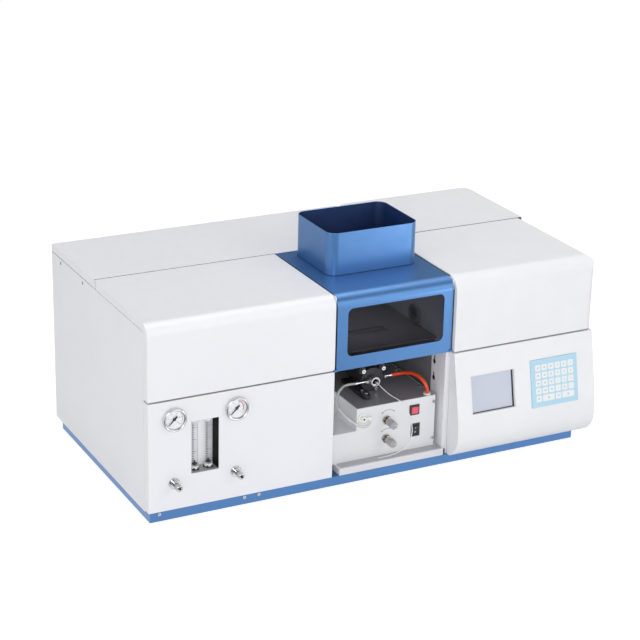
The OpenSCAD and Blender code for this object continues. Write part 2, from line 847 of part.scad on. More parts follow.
module lamp_deck() {
  back_x = turret_x - bracket_gap;
  color("#C9CBD0") {
    block([left_x + sheet, front_y + sheet, lamp_deck_z - sheet], [lamp_wall_x, partition_y, lamp_deck_z]);
    difference() {
      for (x = [back_x, turret_x])
        block([x, beam_y - 24, lamp_deck_z], [x + bracket_t, beam_y + 24, turret_z + 14]);
      bar_x(back_x - cut, turret_x + bracket_t + cut, beam_y, turret_z, turret_shaft_r + running);
      bar_x(turret_x - cut, turret_x + bracket_t + cut, beam_y, beam_z, lens_r);
    }
  }
}

// Places children on each lamp's axis, Z along the light, from the back end of the lamps
module at_lamps() {
  for (a = [0 : 90 : 270])
    translate([turret_x - bracket_gap + 20, beam_y + lamp_ring_r * cos(a), turret_z + lamp_ring_r * sin(a)])
      rotate([0, 90, 0]) children();
}

module lamp_turret() {
  disc_t = 6;
  shaft_end = 6;
  back_disc = 30;
  front_disc = 60;
  color("#9FA2A8") difference() {
    union() {
      bar_x(
        turret_x - bracket_gap - shaft_end, turret_x + bracket_t + shaft_end, beam_y, turret_z, turret_shaft_r
      );
      for (x = [turret_x - bracket_gap + back_disc, turret_x - front_disc])
        bar_x(x, x + disc_t, beam_y, turret_z, turret_r);
    }
    at_lamps() cylinder(h = bracket_gap, r = lamp_r + fit_gap);
  }
}

module hollow_cathode_lamps() {
  base_l = 34;
  color("#D8C9A8") at_lamps() {
    cylinder(h = base_l, r = lamp_r);
    translate([0, 0, base_l]) cylinder(h = lamp_l - base_l, r = lamp_r - 1);
  }
}

// A lens mount through a wall: its flange starts at x and points along the light, towards the bay
module lens_mount(x, way) {
  tube_l = sheet + 12;
  translate([x, beam_y, beam_z]) rotate([0, 90 * way, 0]) difference() {
    union() {
      cylinder(h = lens_rim, r = port_r - move_gap);
      translate([0, 0, -tube_l]) cylinder(h = tube_l, r = port_r - 3);
    }
    translate([0, 0, -tube_l - cut]) cylinder(h = tube_l + lens_rim + 2 * cut, r = lens_r - 2);
    translate([0, 0, lens_rim - lens_lip - lens_t]) cylinder(h = lens_t + lens_lip + cut, r = lens_r);
  }
}

module lens_mounts() {
  color("#6E7075") {
    lens_mount(lamp_wall_x + sheet, 1);
    lens_mount(mono_wall_x, -1);
  }
}

module lenses() {
  color("#BFD4DE") {
    bar_x(lamp_lens_x, lamp_lens_x + lens_t, beam_y, beam_z, lens_r - fit_gap);
    bar_x(mono_lens_x, mono_lens_x + lens_t, beam_y, beam_z, lens_r - fit_gap);
  }
}

module gas_panel() {
  color("#EDEDF0") difference() {
    union() {
      block([left_x, front_y, base_z], [bay_left_x, front_y + sheet, panel_top_z]);
      block([left_x, front_y + sheet, base_z], [left_x + sheet, front_y + corner_d, panel_top_z]);
      block([left_x + sheet, front_y + sheet, panel_top_z - sheet], [bay_left_x, front_y + 18, panel_top_z]);
      block([bay_left_x - sheet, front_y + sheet, base_z], [bay_left_x, front_y + 14, lamp_deck_z - sheet]);
    }
    for (x = gauge_xs) {
      bar_y(x, front_y - cut, front_y + sheet + cut, gauge_height, gauge_body_r + fit_gap);
      bar_y(x, front_y - cut, front_y + sheet + cut, valve_height, bush_r + fit_gap);
    }
    block(
      [flow_x - flow_w / 2, front_y - cut, flow_low_z],
      [flow_x + flow_w / 2, front_y + sheet + cut, flow_low_z + flow_h]
    );
  }
}

// Places children on a gauge, Z towards the eye, with the panel's face at zero
module at_gauge(i) {
  translate([gauge_xs[i], front_y, gauge_height]) rotate([90, 0, 0]) children();
}

module gauge_cases() {
  color("#C6C8CB") for (i = [0, 1])
    at_gauge(i) {
      difference() {
        union() {
          cylinder(h = gauge_rim, r = gauge_r);
          translate([0, 0, -gauge_body_l]) cylinder(h = gauge_body_l, r = gauge_body_r);
        }
        translate([0, 0, dial_z]) cylinder(h = gauge_rim, r = gauge_r - 4);
        translate([0, 0, glass_z]) cylinder(h = gauge_rim, r = gauge_r - 3);
      }
      translate([0, 0, dial_z]) cylinder(h = needle_z + needle_t + 0.6 - dial_z, r = spindle_r);
    }
}

module gauge_glasses() {
  color("#DCE6EA") for (i = [0, 1])
    at_gauge(i) translate([0, 0, glass_z]) cylinder(h = glass_t, r = gauge_r - 3 - fit_gap);
}

// A needle with a wide tail, its tip at the zero mark on the lower left
module gauge_needle(i) {
  tip = gauge_r - 7;
  color("#26262A") at_gauge(i) translate([0, 0, needle_z]) rotate([0, 0, 225]) linear_extrude(needle_t)
    difference() {
      union() {
        circle(3);
        polygon([[-8, -1.8], [0, -1.2], [tip, -0.4], [tip, 0.4], [0, 1.2], [-8, 1.8]]);
      }
      circle(spindle_r + running);
    }
}

module fuel_gauge_needle() {
  gauge_needle(0);
}

module air_gauge_needle() {
  gauge_needle(1);
}

module flowmeter_housing() {
  wall = 4;
  low = [flow_x - flow_w / 2, front_y + sheet, flow_low_z];
  color("#2A2A2D") {
    difference() {
      block(low - [wall, 0, wall], low + [flow_w + wall, flow_d, flow_h + wall]);
      block(low - [0, cut, 0], low + [flow_w, flow_d - wall, flow_h]);
    }
    for (x = flow_tube_xs, z = [flow_low_z, flow_low_z + flow_h - flow_cap_h])
      bar_z(x, flow_tube_y, z, z + flow_cap_h, flow_tube_r + 2);
  }
}

module flow_tubes() {
  z0 = flow_low_z + flow_cap_h;
  z1 = flow_low_z + flow_h - flow_cap_h;
  color("#DDE7EA") for (x = flow_tube_xs)
    difference() {
      bar_z(x, flow_tube_y, z0, z1, flow_tube_r);
      bar_z(x, flow_tube_y, z0 - cut, z1 + cut, flow_bore_r);
    }
}

// A flow float: a cone with a cap, standing on the bottom of its tube
module flow_float(i) {
  top_r = flow_bore_r - move_gap;
  cone_h = float_h - 3;
  translate([flow_tube_xs[i], flow_tube_y, flow_low_z + flow_cap_h + fit_gap]) {
    cylinder(h = cone_h, r1 = 1.5, r2 = top_r);
    translate([0, 0, cone_h]) cylinder(h = float_h - cone_h, r = top_r);
  }
}

module fuel_float() {
  color("#303034") flow_float(0);
}

module air_float() {
  color("#303034") flow_float(1);
}

// Places children on a knob's axis, Z towards the eye, with the face that carries it at zero
module at_knob(x, y, z) {
  translate([x, y, z]) rotate([90, 0, 0]) children();
}

// A threaded bush, bored for a stem, that stands out of a panel by a height
module threaded_bush(height) {
  difference() {
    union() {
      translate([0, 0, -bush_l]) cylinder(h = bush_l + height, r = bush_r);
      children();
    }
    translate([0, 0, -bush_l - cut]) cylinder(h = bush_l + height + 2 * cut, r = valve_stem_r + running);
  }
}

module valve_bushes() {
  color("#C9CACD") {
    for (x = gauge_xs)
      at_knob(x, front_y, valve_height) threaded_bush(valve_bush_h) {
        cylinder(h = 3, r = bush_r + 6);
        cylinder(h = 7, r = bush_r + 3.5);
      }
    for (z = [height_knob_z, trim_knob_z])
      at_knob(knob_x, box_front_y, z) threaded_bush(box_bush_h) cylinder(h = 4, r = bush_r + 4, $fn = 6);
  }
}

module valve_knob(i) {
  color("#D6D7DA") at_knob(gauge_xs[i], front_y, valve_height) {
    translate([0, 0, -bush_l]) cylinder(h = bush_l + valve_reach, r = valve_stem_r);
    translate([0, 0, valve_bush_h + move_gap]) cylinder(h = 5, r = valve_knob_r - 2);
    translate([0, 0, valve_bush_h + 4]) cylinder(h = valve_reach - valve_bush_h - 4, r = valve_knob_r);
  }
}

module fuel_valve_knob() {
  valve_knob(0);
}

module air_valve_knob() {
  valve_knob(1);
}

module flame_hood() {
  flange_end_y = hinge_y - ear_r;
  front_flange = 16;
  color("#5B97D6") {
    difference() {
      along_x(hood_left_x, hood_right_x) fold_sheet(front_y, cover_back_y, hood_low_z, top_z, fold_r, sheet);
      along_y(front_y - cut, front_y + sheet + cut) translate([window_x, window_z])
        round_plate(window_w, window_h, window_r);
      translate([chimney_x, chimney_y, top_z - sheet - cut]) linear_extrude(sheet + 2 * cut)
        round_plate(chimney_w - 2 * sheet, chimney_d - 2 * sheet, chimney_r - sheet);
    }
    for (x = [hood_left_x, hood_right_x - sheet])
      along_x(x, x + sheet)
        fold_flange(front_y, flange_end_y, hood_low_z, top_z, fold_r, flange_h, front_flange);
    block(
      [hood_left_x + sheet, front_y + sheet, hood_low_z],
      [hood_right_x - sheet, front_y + front_flange, hood_low_z + sheet]
    );
    hinge_ear(hood_left_x + sheet + 1);
    hinge_ear(hood_right_x - sheet - 1 - ear_t);
  }
}

module hood_window() {
  color("#2E2D31") along_y(front_y + sheet, front_y + sheet + window_t) translate([window_x, window_z])
    round_plate(window_w + 2 * pane_lap, window_h + 2 * pane_lap, window_r + pane_lap);
}

module chimney() {
  color("#4A86C8") translate([chimney_x, chimney_y, top_z]) linear_extrude(chimney_h) difference() {
    round_plate(chimney_w, chimney_d, chimney_r);
    round_plate(chimney_w - 2 * sheet, chimney_d - 2 * sheet, chimney_r - sheet);
  }
}

module bay_liner() {
  x0 = lamp_wall_x + sheet;
  x1 = mono_wall_x;
  deck_front_y = front_y + 58;
  slot = 2;
  color("#58585B") difference() {
    union() {
      block([x0, front_y + 46, base_z], [x0 + sheet, partition_y, deck_z]);
      block([x1 - sheet, post_back_y, base_z], [x1, partition_y, deck_z]);
      block([x0, partition_y - sheet, base_z], [x1, partition_y, deck_z]);
      block([x0, deck_front_y, deck_z - sheet], [x1, partition_y, deck_z]);
    }
    block(
      [burner_x - head_l / 2 - slot, beam_y - head_w / 2 - slot, deck_z - sheet - cut],
      [burner_x + head_l / 2 + slot, beam_y + head_w / 2 + slot, deck_z + cut]
    );
  }
}

module drip_tray() {
  color("#D6D8DC") difference() {
    block([tray_left_x, front_y, base_z], [tray_right_x - move_gap, box_back_y, tray_z]);
    block(
      [tray_left_x + sheet, front_y + sheet, base_z - cut],
      [tray_right_x - move_gap - sheet, box_back_y - sheet, tray_z - sheet]
    );
  }
}

// Outline of the gas box, drawn in X and Z, moved in by a wall, with its top raised and its floor lowered
module box_outline(wall, raise, lower) {
  polygon([
    [box_left_x + wall, tray_z - lower], [box_right_x - wall, tray_z - lower],
    [box_right_x - wall, box_top_z + raise], [box_step_x + wall, box_top_z + raise],
    [box_step_x + wall, tray_z + box_low_h - wall], [box_left_x + wall, tray_z + box_low_h - wall]
  ]);
}

module gas_box() {
  color("#DCDDE0") difference() {
    along_y(box_front_y, box_back_y) box_outline(0, 0, 0);
    along_y(box_front_y + sheet, box_back_y - sheet) difference() {
      box_outline(sheet, cut, cut);
      translate([box_step_x, box_top_z - 2 * sheet]) square([box_ledge, sheet]);
      translate([box_right_x - box_ledge, box_top_z - 2 * sheet]) square([box_ledge, sheet]);
    }
    for (z = [height_knob_z, trim_knob_z])
      bar_y(knob_x, box_front_y - cut, box_front_y + sheet + cut, z, bush_r + fit_gap);
    block(
      [button_x - button_w / 2 - bezel_t, box_front_y - cut, button_z - button_w / 2 - bezel_t],
      [button_x + button_w / 2 + bezel_t, box_front_y + sheet + cut, button_z + button_w / 2 + bezel_t]
    );
    block(
      [rocker_x - rocker_w / 2 - bezel_t, box_front_y - cut, rocker_z - rocker_h / 2 - bezel_t],
      [rocker_x + rocker_w / 2 + bezel_t, box_front_y + sheet + cut, rocker_z + rocker_h / 2 + bezel_t]
    );
    bar_y(fitting_x, box_front_y - cut, box_front_y + sheet + cut, fitting_z, grommet_r + fit_gap);
    for (z = box_screw_zs)
      bar_y(box_screw_x, box_front_y - cut, box_front_y + sheet + cut, z, screw_r + fit_gap);
    for (y = top_screw_ys)
      bar_z(top_screw_x, y, box_top_z - 2 * sheet - cut, box_top_z, screw_r + fit_gap);
  }
}

module gas_box_top() {
  guide_wall = 5;
  guide_l = 20;
  y0 = beam_y - post_w / 2;
  color("#58585C") difference() {
    union() {
      block(
        [box_step_x + sheet, box_front_y + sheet, box_top_z - sheet],
        [box_right_x - sheet, box_back_y - sheet, box_top_z]
      );
      block(
        [stand_x - guide_wall, y0 - guide_wall, box_top_z - guide_l],
        [stand_x + post_w + guide_wall, y0 + post_w + guide_wall, box_top_z - sheet]
      );
    }
    block(
      [stand_x - rack_room, y0 - running, box_top_z - guide_l - cut],
      [stand_x + post_w + running, y0 + post_w + running, box_top_z + cut]
    );
    bar_z(grommet_x, grommet_y, box_top_z - sheet - cut, box_top_z + cut, grommet_r + fit_gap);
    for (y = top_screw_ys)
      bar_z(top_screw_x, y, box_top_z - sheet - cut, box_top_z + cut, screw_r + fit_gap);
  }
}

module box_fittings() {
  nozzle_y = box_front_y - 7.5;
  color("#EFEFEA") {
    bar_z(grommet_x, grommet_y, box_top_z - sheet, box_top_z, grommet_r);
    bar_z(grommet_x, grommet_y, box_top_z, box_top_z + 3, grommet_r + 2);
    at_knob(fitting_x, box_front_y, fitting_z) difference() {
      union() {
        cylinder(h = 3, r = grommet_r + 3);
        translate([0, 0, -12]) cylinder(h = 23, r = grommet_r - 0.5);
      }
      translate([0, 0, 9]) cylinder(h = 10, r = 1.5);
    }
    bar_x(fitting_x, fitting_x + nozzle_reach + nozzle_r, nozzle_y, fitting_z, nozzle_r);
    bar_z(fitting_x + nozzle_reach, nozzle_y, fitting_z - nozzle_drop, fitting_z, tube_r);
  }
}

// A flat frame round an opening
module bezel_frame(w, h, grow) {
  difference() {
    square([w + 2 * grow, h + 2 * grow], center = true);
    square([w, h], center = true);
  }
}

// A switch bezel: a sleeve through the panel with a rim in front, centred on its opening
module bezel(x, z, w, h) {
  at_knob(x, box_front_y, z) {
    linear_extrude(bezel_rim) bezel_frame(w, h, bezel_t + 1.5);
    translate([0, 0, -bezel_l]) linear_extrude(bezel_l) bezel_frame(w, h, bezel_t - fit_gap);
  }
}

module switch_bezels() {
  color("#1B1B1D") {
    bezel(button_x, button_z, button_w, button_w);
    difference() {
      bezel(rocker_x, rocker_z, rocker_w, rocker_h);
      bar_x(
        rocker_x - rocker_w / 2 - rocker_pin_l - fit_gap, rocker_x + rocker_w / 2 + rocker_pin_l + fit_gap,
        rocker_axis_y, rocker_z, rocker_pin_r + running
      );
    }
  }
}

module ignition_button() {
  w = button_w - 2 * move_gap;
  color("#E0485A") at_knob(button_x, box_front_y, button_z) translate([0, 0, button_proud - button_l])
    linear_extrude(button_l) square([w, w], center = true);
}

module power_rocker() {
  w = rocker_w - 2 * move_gap;
  h = rocker_h - 1.8;
  color("#19191B") translate([rocker_x, rocker_axis_y, rocker_z]) rotate([rocker_tilt, 0, 0]) {
    along_x(-w / 2, w / 2) polygon([[-4, -h / 2], [4, -h / 2], [4, h / 2], [-4, h / 2], [-3, 0]]);
    bar_x(-w / 2 - rocker_pin_l, w / 2 + rocker_pin_l, 0, 0, rocker_pin_r);
  }
}

// A gas box knob: its grip, and a stem that runs back from the panel by a length
module box_knob(z, stem_l) {
  at_knob(knob_x, box_front_y, z) {
    translate([0, 0, -stem_l]) cylinder(h = stem_l + box_bush_h + move_gap, r = valve_stem_r);
    translate([0, 0, box_bush_h + move_gap]) cylinder(h = box_knob_l, r = box_knob_r);
  }
}

module height_knob() {
  color("#A8ABB0") {
    box_knob(height_knob_z, beam_y + gear_face / 2 - box_front_y);
    translate([knob_x, beam_y + gear_face / 2, height_knob_z]) rotate([90, 0, 0]) linear_extrude(gear_face)
      polygon(pinion_points());
  }
}

module trim_knob() {
  color("#A8ABB0") box_knob(trim_knob_z, bush_l + 10);
}

module burner_stand() {
  pitch = PI * gear_m;
  half = pitch / 4 - gear_play;
  slope = tan(pressure);
  root_half = half + 1.25 * gear_m * slope;
  tip_half = half - 0.9 * gear_m * slope;
  low_z = box_top_z + stand_gap;
  foot_x = burner_x - 37;
  foot_h = 9;
  end_r = 8.5;
  foot_y = flange_y - 38 + end_r;
  color("#1E1E20") {
    difference() {
      block([burner_x - 16, beam_y - 16, low_z], [stand_x + post_w, beam_y + 16, chamber_z - chamber_r + 6]);
      bar_y(burner_x, beam_y - 17, beam_y + 17, chamber_z, chamber_r + fit_gap / 2);
    }
    block(
      [stand_x, beam_y - post_w / 2, height_knob_z - lift_travel - 14],
      [stand_x + post_w, beam_y + post_w / 2, low_z + cut]
    );
    for (k = [-ceil((lift_travel + 6) / pitch) : 2])
      translate([0, beam_y, height_knob_z + (k + 0.5) * pitch]) along_y(-gear_face / 2, gear_face / 2)
        polygon([
          [stand_x, -root_half], [stand_x, root_half],
          [rack_x - 0.9 * gear_m, tip_half], [rack_x - 0.9 * gear_m, -tip_half]
        ]);
    block([foot_x, beam_y - 16, low_z], [burner_x - 16, beam_y + 16, box_top_z + foot_h]);
    block([foot_x, foot_y, low_z], [foot_x + 2 * end_r, beam_y - 16, box_top_z + foot_h]);
    bar_z(foot_x + end_r, foot_y, low_z, box_top_z + foot_h, end_r);
  }
}

module mixing_chamber() {
  neck_top_z = head_top_z - head_h;
  wall = 4;
  color("#222225") difference() {
    union() {
      bar_y(burner_x, chamber_front_y, chamber_front_y + chamber_l, chamber_z, chamber_r);
      bar_y(burner_x, flange_y, chamber_front_y, chamber_z, flange_r);
      for (x = [-1, 1])
        bar_y(burner_x + x * ear_ring, flange_y, chamber_front_y, chamber_z + ear_ring, 8);
      block(
        [burner_x, flange_y + 1, chamber_z - 5],
        [burner_x + boss_reach, chamber_front_y - 1, chamber_z + 5]
      );
      bar_z(burner_x, beam_y, chamber_z, neck_top_z, neck_r);
    }
    bar_y(burner_x, flange_y - cut, chamber_front_y + cut, chamber_z, nebulizer_r + fit_gap);
    bar_y(burner_x, chamber_front_y, chamber_front_y + chamber_l - wall, chamber_z, chamber_r - wall);
    bar_z(burner_x, beam_y, chamber_z, neck_top_z + cut, neck_r - wall);
  }
}

module nebulizer() {
  ring_y = flange_y - nebulizer_reach + 5;
  color("#C9CBCE") {
    difference() {
      union() {
        bar_y(burner_x, ring_y, ring_y + 9, chamber_z, nebulizer_r + 2.5);
        bar_y(burner_x, ring_y + 9, chamber_front_y - 1, chamber_z, nebulizer_r);
        block(
          [burner_x - nebulizer_boss, air_fitting_y - 4.5, chamber_z - 4.5],
          [burner_x, air_fitting_y + 4.5, chamber_z + 4.5]
        );
      }
      bar_y(burner_x, ring_y - cut, ring_y + 4, chamber_z, nebulizer_r - 0.5);
    }
    bar_y(burner_x, flange_y - nebulizer_reach, ring_y + 5, chamber_z, 1.8);
  }
}

// A hose fitting that points along X from a face: a hex nut, a tube and a ferrule at its end
module hose_fitting(length) {
  cylinder(h = 5, r = 5.2, $fn = 6);
  cylinder(h = length, r = 2.8);
  translate([0, 0, length - 7]) cylinder(h = 7, r = 4.2);
}

module chamber_fittings() {
  y = (flange_y + chamber_front_y) / 2;
  color("#CFCFCB") {
    translate([burner_x + boss_reach, y, chamber_z]) rotate([0, 90, 0]) hose_fitting(fitting_l);
    translate([burner_x - nebulizer_boss, air_fitting_y, chamber_z]) rotate([0, -90, 0])
      hose_fitting(air_fitting_l);
    for (x = [-1, 1])
      at_knob(burner_x + x * ear_ring, flange_y, chamber_z + ear_ring) cylinder(h = 7, r = 4.6);
    at_knob(burner_x + 8, flange_y, chamber_z - 0.78 * flange_r) cylinder(h = 5, r = 3.6);
    for (y = [flange_y - 26, flange_y - 8])
      bar_z(burner_x - 28, y, box_top_z + 9, box_top_z + 12, 4);
  }
}

module burner_head() {
  slot_w = 0.8;
  color("#8E9096") difference() {
    union() {
      block(
        [burner_x - head_l / 2, beam_y - head_w / 2, head_top_z - head_h],
        [burner_x + head_l / 2, beam_y + head_w / 2, head_top_z]
      );
      bar_z(burner_x, beam_y, head_top_z - head_h - 15, head_top_z - head_h, neck_r - 4 - fit_gap);
    }
    block(
      [burner_x - head_l / 2 + 5, beam_y - slot_w / 2, head_top_z - 14],
      [burner_x + head_l / 2 - 5, beam_y + slot_w / 2, head_top_z + cut]
    );
  }
}

module fuel_hose() {
  color("#E2471F") swept_tube(curve(fuel_hose_route, 2), hose_r, 10, [1, 1, 0.2]);
}

module air_tube() {
  color("#E8EAE6") swept_tube(curve(air_tube_route, 2), tube_r, 8, [0.2, -0.6, 1]);
}

module sample_capillary() {
  color("#F0F0EC") swept_tube(curve(capillary_route, 4), capillary_r, 8, [0.6, 1, 0.3]);
}

// The space inside the monochromator cover, moved in from its outer faces
module mono_body(inset, over) {
  x0 = bay_right_x + inset;
  x1 = right_x - inset;
  y0 = fascia_top_y + inset;
  y1 = cover_back_y + over;
  z0 = mono_low_z - over;
  z1 = mono_top_z - inset;
  r = mono_edge_r - inset;
  intersection() {
    along_x(x0, x1) fold_area(y0, y1, z0, z1, mono_fold_r - inset);
    along_y(y0, y1) union() {
      translate([x0, z0]) square([x1 - x0 - r, z1 - z0]);
      translate([x0, z0]) square([x1 - x0, z1 - z0 - r]);
      translate([x1 - r, z1 - r]) circle(r);
    }
    translate([0, 0, z0]) linear_extrude(z1 - z0) union() {
      translate([x0, y0]) square([x1 - x0 - r, y1 - y0]);
      translate([x0, y0 + r]) square([x1 - x0, y1 - y0 - r]);
      translate([x1 - r, y0 + r]) circle(r);
    }
  }
}

module mono_cover() {
  rim = 26;
  color("#F6F6F7") difference() {
    mono_body(0, 0);
    mono_body(mono_wall, cut);
    block(
      [bay_right_x - cut, fascia_top_y + rim, mono_low_z - cut],
      [bay_right_x + mono_wall + cut, cover_back_y + cut, mono_top_z - rim]
    );
  }
}

module control_fascia() {
  collar = 6;
  color("#F6F6F7") difference() {
    union() {
      difference() {
        along_x(bay_right_x, right_x) polygon(fascia_points(0, 0));
        along_x(bay_right_x + mono_wall, right_x - mono_wall) polygon(fascia_points(mono_wall, cut));
      }
      on_fascia(display_x, controls_z)
        translate([-display_w / 2 - collar, -display_h / 2 - collar, -display_recess])
          cube([display_w + 2 * collar, display_h + 2 * collar, display_recess - mono_wall / 2]);
    }
    on_fascia(display_x, controls_z) cube([display_w, display_h, 6 * display_recess], center = true);
    on_fascia(keypad_x, controls_z) translate([-keypad_w / 2 - fit_gap, -keypad_h / 2 - fit_gap, -pocket_d])
      cube([keypad_w + 2 * fit_gap, keypad_h + 2 * fit_gap, 6 * pocket_d]);
  }
}

module display() {
  rim = 5;
  color("#C3CAE0") on_fascia(display_x, controls_z)
    translate([0, 0, -display_recess - seat - display_t / 2])
      cube([display_w + 2 * rim, display_h + 2 * rim, display_t], center = true);
}

// How many key widths stand to the left of a key in its row
function keys_before(row, i) = i == 0 ? 0 : row[i - 1] + keys_before(row, i - 1);

module keypad() {
  left = -key_step_x * 3;
  top = key_step_z * 2.5;
  color("#BFE0F2") on_fascia(keypad_x, controls_z) {
    translate([-keypad_w / 2, -keypad_h / 2, -pocket_d]) cube([keypad_w, keypad_h, keypad_t]);
    for (row = [0 : len(key_rows) - 1], i = [0 : len(key_rows[row]) - 1])
      let (span = key_rows[row][i], w = key_x + (span - 1) * key_step_x)
      translate([
        left + (keys_before(key_rows[row], i) + span / 2) * key_step_x - w / 2,
        top - (row + 0.5) * key_step_z - key_h / 2, keypad_t - pocket_d
      ]) cube([w, key_h, key_t]);
  }
}

module monochromator() {
  low = [housing_x, housing_y, housing_low_z];
  high = low + [housing_w, housing_d, housing_h];
  wall = [housing_wall, housing_wall, housing_wall];
  color("#8A8D92") {
    difference() {
      block(low, high);
      block(low + wall, high - wall);
      bar_x(housing_x - cut, housing_x + housing_wall + cut, beam_y, beam_z, lens_r);
    }
    for (x = [low[0], high[0] - housing_leg], y = [low[1], high[1] - housing_leg])
      block([x, y, base_z], [x + housing_leg, y + housing_leg, housing_low_z]);
    bar_z(grating_x, grating_y, low[2] + housing_wall, low[2] + housing_wall + grating_pin_l, grating_pin_r);
  }
}

module grating() {
  low_z = housing_low_z + housing_wall + move_gap;
  table_h = 8;
  table_r = 30;
  half = 26;
  front_x = grating_x + 7;
  color("#B9C3CC") difference() {
    union() {
      bar_z(grating_x, grating_y, low_z, low_z + table_h, table_r);
      block([front_x, grating_y - half, low_z + table_h], [front_x + 9, grating_y + half, beam_z + half]);
    }
    bar_z(grating_x, grating_y, low_z - cut, low_z + table_h + cut, grating_pin_r + running);
  }
}

module detector() {
  wall = 3;
  size = [44, 60, 80];
  slit_y = 100;
  low = [housing_x + housing_w, beam_y + slit_y - size[1] / 2, beam_z + 5 - size[2] / 2];
  high = low + size;
  color("#4A4B50") difference() {
    block(low, high);
    block(low + [-cut, wall, wall], high - [wall, wall, wall]);
  }
}

module power_supply() {
  wall = 1.5;
  low = [supply_x, supply_front_y, base_z];
  high = [supply_x + supply_w, supply_back_y, base_z + supply_h];
  color("#9A9DA2") difference() {
    block(low, high);
    block(low + [wall, wall, -cut], high - [wall, wall, wall]);
  }
}

module circuit_board() {
  room = housing_leg + 7;
  rise = 14;
  board_t = 1.6;
  inset = 8;
  pillar_r = 4;
  low = [housing_x + room, housing_y + room, base_z];
  high = [housing_x + housing_w - room, housing_y + housing_d - room, base_z + rise];
  color("#2F6B45") {
    block([low[0], low[1], high[2] - board_t], high);
    for (x = [low[0] + inset, high[0] - inset], y = [low[1] + inset, high[1] - inset])
      bar_z(x, y, low[2], high[2] - board_t, pillar_r);
  }
}

module mains_inlet() {
  w = inlet_w - 2 * fit_gap;
  h = inlet_h - 2 * fit_gap;
  rim = 4;
  color("#232325") difference() {
    union() {
      block(
        [inlet_x - w / 2, rear_y - 26, inlet_z - h / 2],
        [inlet_x + w / 2, rear_y + sheet, inlet_z + h / 2]
      );
      block(
        [inlet_x - w / 2 - rim, rear_y + sheet, inlet_z - h / 2 - rim],
        [inlet_x + w / 2 + rim, rear_y + sheet + 3, inlet_z + h / 2 + rim]
      );
    }
    block([inlet_x - 12, rear_y - 14, inlet_z - 18], [inlet_x + 12, rear_y + sheet + 4, inlet_z - 2]);
  }
  color("#C8B273") for (p = [[-7, -12], [0, -7], [7, -12]])
    translate([inlet_x + p[0], 0, inlet_z + p[1]]) block([-1, rear_y - 14, -2], [1, rear_y - 1, 2]);
}

module gas_inlets() {
  spigot_y = rear_y + sheet + gas_hex_t;
  bore_r = 3;
  color("#C9A84C") for (x = gas_inlet_xs)
    difference() {
      union() {
        bar_y(x, rear_y - 16, rear_y + sheet, gas_inlet_z, gas_thread_r);
        translate([x, spigot_y, gas_inlet_z]) rotate([90, 0, 0])
          cylinder(h = gas_hex_t, r = gas_thread_r + 4, $fn = 6);
        bar_y(x, spigot_y, spigot_y + gas_spigot_l, gas_inlet_z, gas_inlet_r);
      }
      bar_y(x, rear_y - 16 - cut, spigot_y + gas_spigot_l + cut, gas_inlet_z, bore_r);
    }
}

base_pan();
base_feet();
left_side_panel();
right_side_panel();
rear_panel();
rear_lid_left();
rear_lid_right();
inner_frame();
hinge_pins();
case_screws();
lamp_cover();
lamp_deck();
lamp_turret();
hollow_cathode_lamps();
lens_mounts();
lenses();
gas_panel();
gauge_cases();
gauge_glasses();
fuel_gauge_needle();
air_gauge_needle();
flowmeter_housing();
flow_tubes();
fuel_float();
air_float();
valve_bushes();
fuel_valve_knob();
air_valve_knob();
flame_hood();
hood_window();
chimney();
bay_liner();
drip_tray();
gas_box();
gas_box_top();
box_fittings();
switch_bezels();
ignition_button();
power_rocker();
height_knob();
trim_knob();
burner_stand();
mixing_chamber();
nebulizer();
chamber_fittings();
burner_head();
fuel_hose();
air_tube();
sample_capillary();
mono_cover();
control_fascia();
display();
keypad();
monochromator();
grating();
detector();
power_supply();
circuit_board();
mains_inlet();
gas_inlets();
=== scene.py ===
import json
import math

import bmesh
import bpy
from mathutils import Matrix, Vector


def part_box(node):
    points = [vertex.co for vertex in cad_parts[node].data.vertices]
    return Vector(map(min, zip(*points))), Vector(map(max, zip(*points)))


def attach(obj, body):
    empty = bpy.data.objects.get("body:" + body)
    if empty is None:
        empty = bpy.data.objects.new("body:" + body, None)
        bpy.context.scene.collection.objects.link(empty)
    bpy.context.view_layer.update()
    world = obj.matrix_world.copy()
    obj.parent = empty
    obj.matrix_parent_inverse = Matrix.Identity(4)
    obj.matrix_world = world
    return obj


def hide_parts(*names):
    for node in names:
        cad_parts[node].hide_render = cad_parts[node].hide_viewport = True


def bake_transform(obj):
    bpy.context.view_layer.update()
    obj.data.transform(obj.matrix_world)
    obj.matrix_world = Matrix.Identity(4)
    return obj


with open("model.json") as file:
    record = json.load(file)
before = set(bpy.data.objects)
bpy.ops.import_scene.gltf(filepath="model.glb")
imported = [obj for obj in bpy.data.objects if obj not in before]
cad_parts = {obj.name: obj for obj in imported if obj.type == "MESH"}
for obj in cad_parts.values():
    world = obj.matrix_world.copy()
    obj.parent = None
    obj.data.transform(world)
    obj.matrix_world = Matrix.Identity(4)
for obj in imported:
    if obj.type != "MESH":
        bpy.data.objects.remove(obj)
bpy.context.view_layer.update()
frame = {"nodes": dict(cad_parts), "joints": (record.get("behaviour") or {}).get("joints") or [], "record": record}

mm = 0.001  # the part's sizes are in mm, the camera's and the stage's in metres
scene = bpy.context.scene
nodes = frame["nodes"]
nodeSlots = {part["node"]: part["material_slot"] for part in frame["record"]["subparts"]}
nodeBodies = {n: b for b, members in frame["record"]["behaviour"]["bodies"].items() for n in members}
pivots = {joint["child"]: [round(c / mm, 3) for c in joint["pos_m"]] for joint in frame["joints"]}


def boxOf(node):
    # Lowest and highest corner of a CAD node, in mm
    return [[round(c / mm, 3) for c in corner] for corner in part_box(node)]


print("stage: frame loaded")

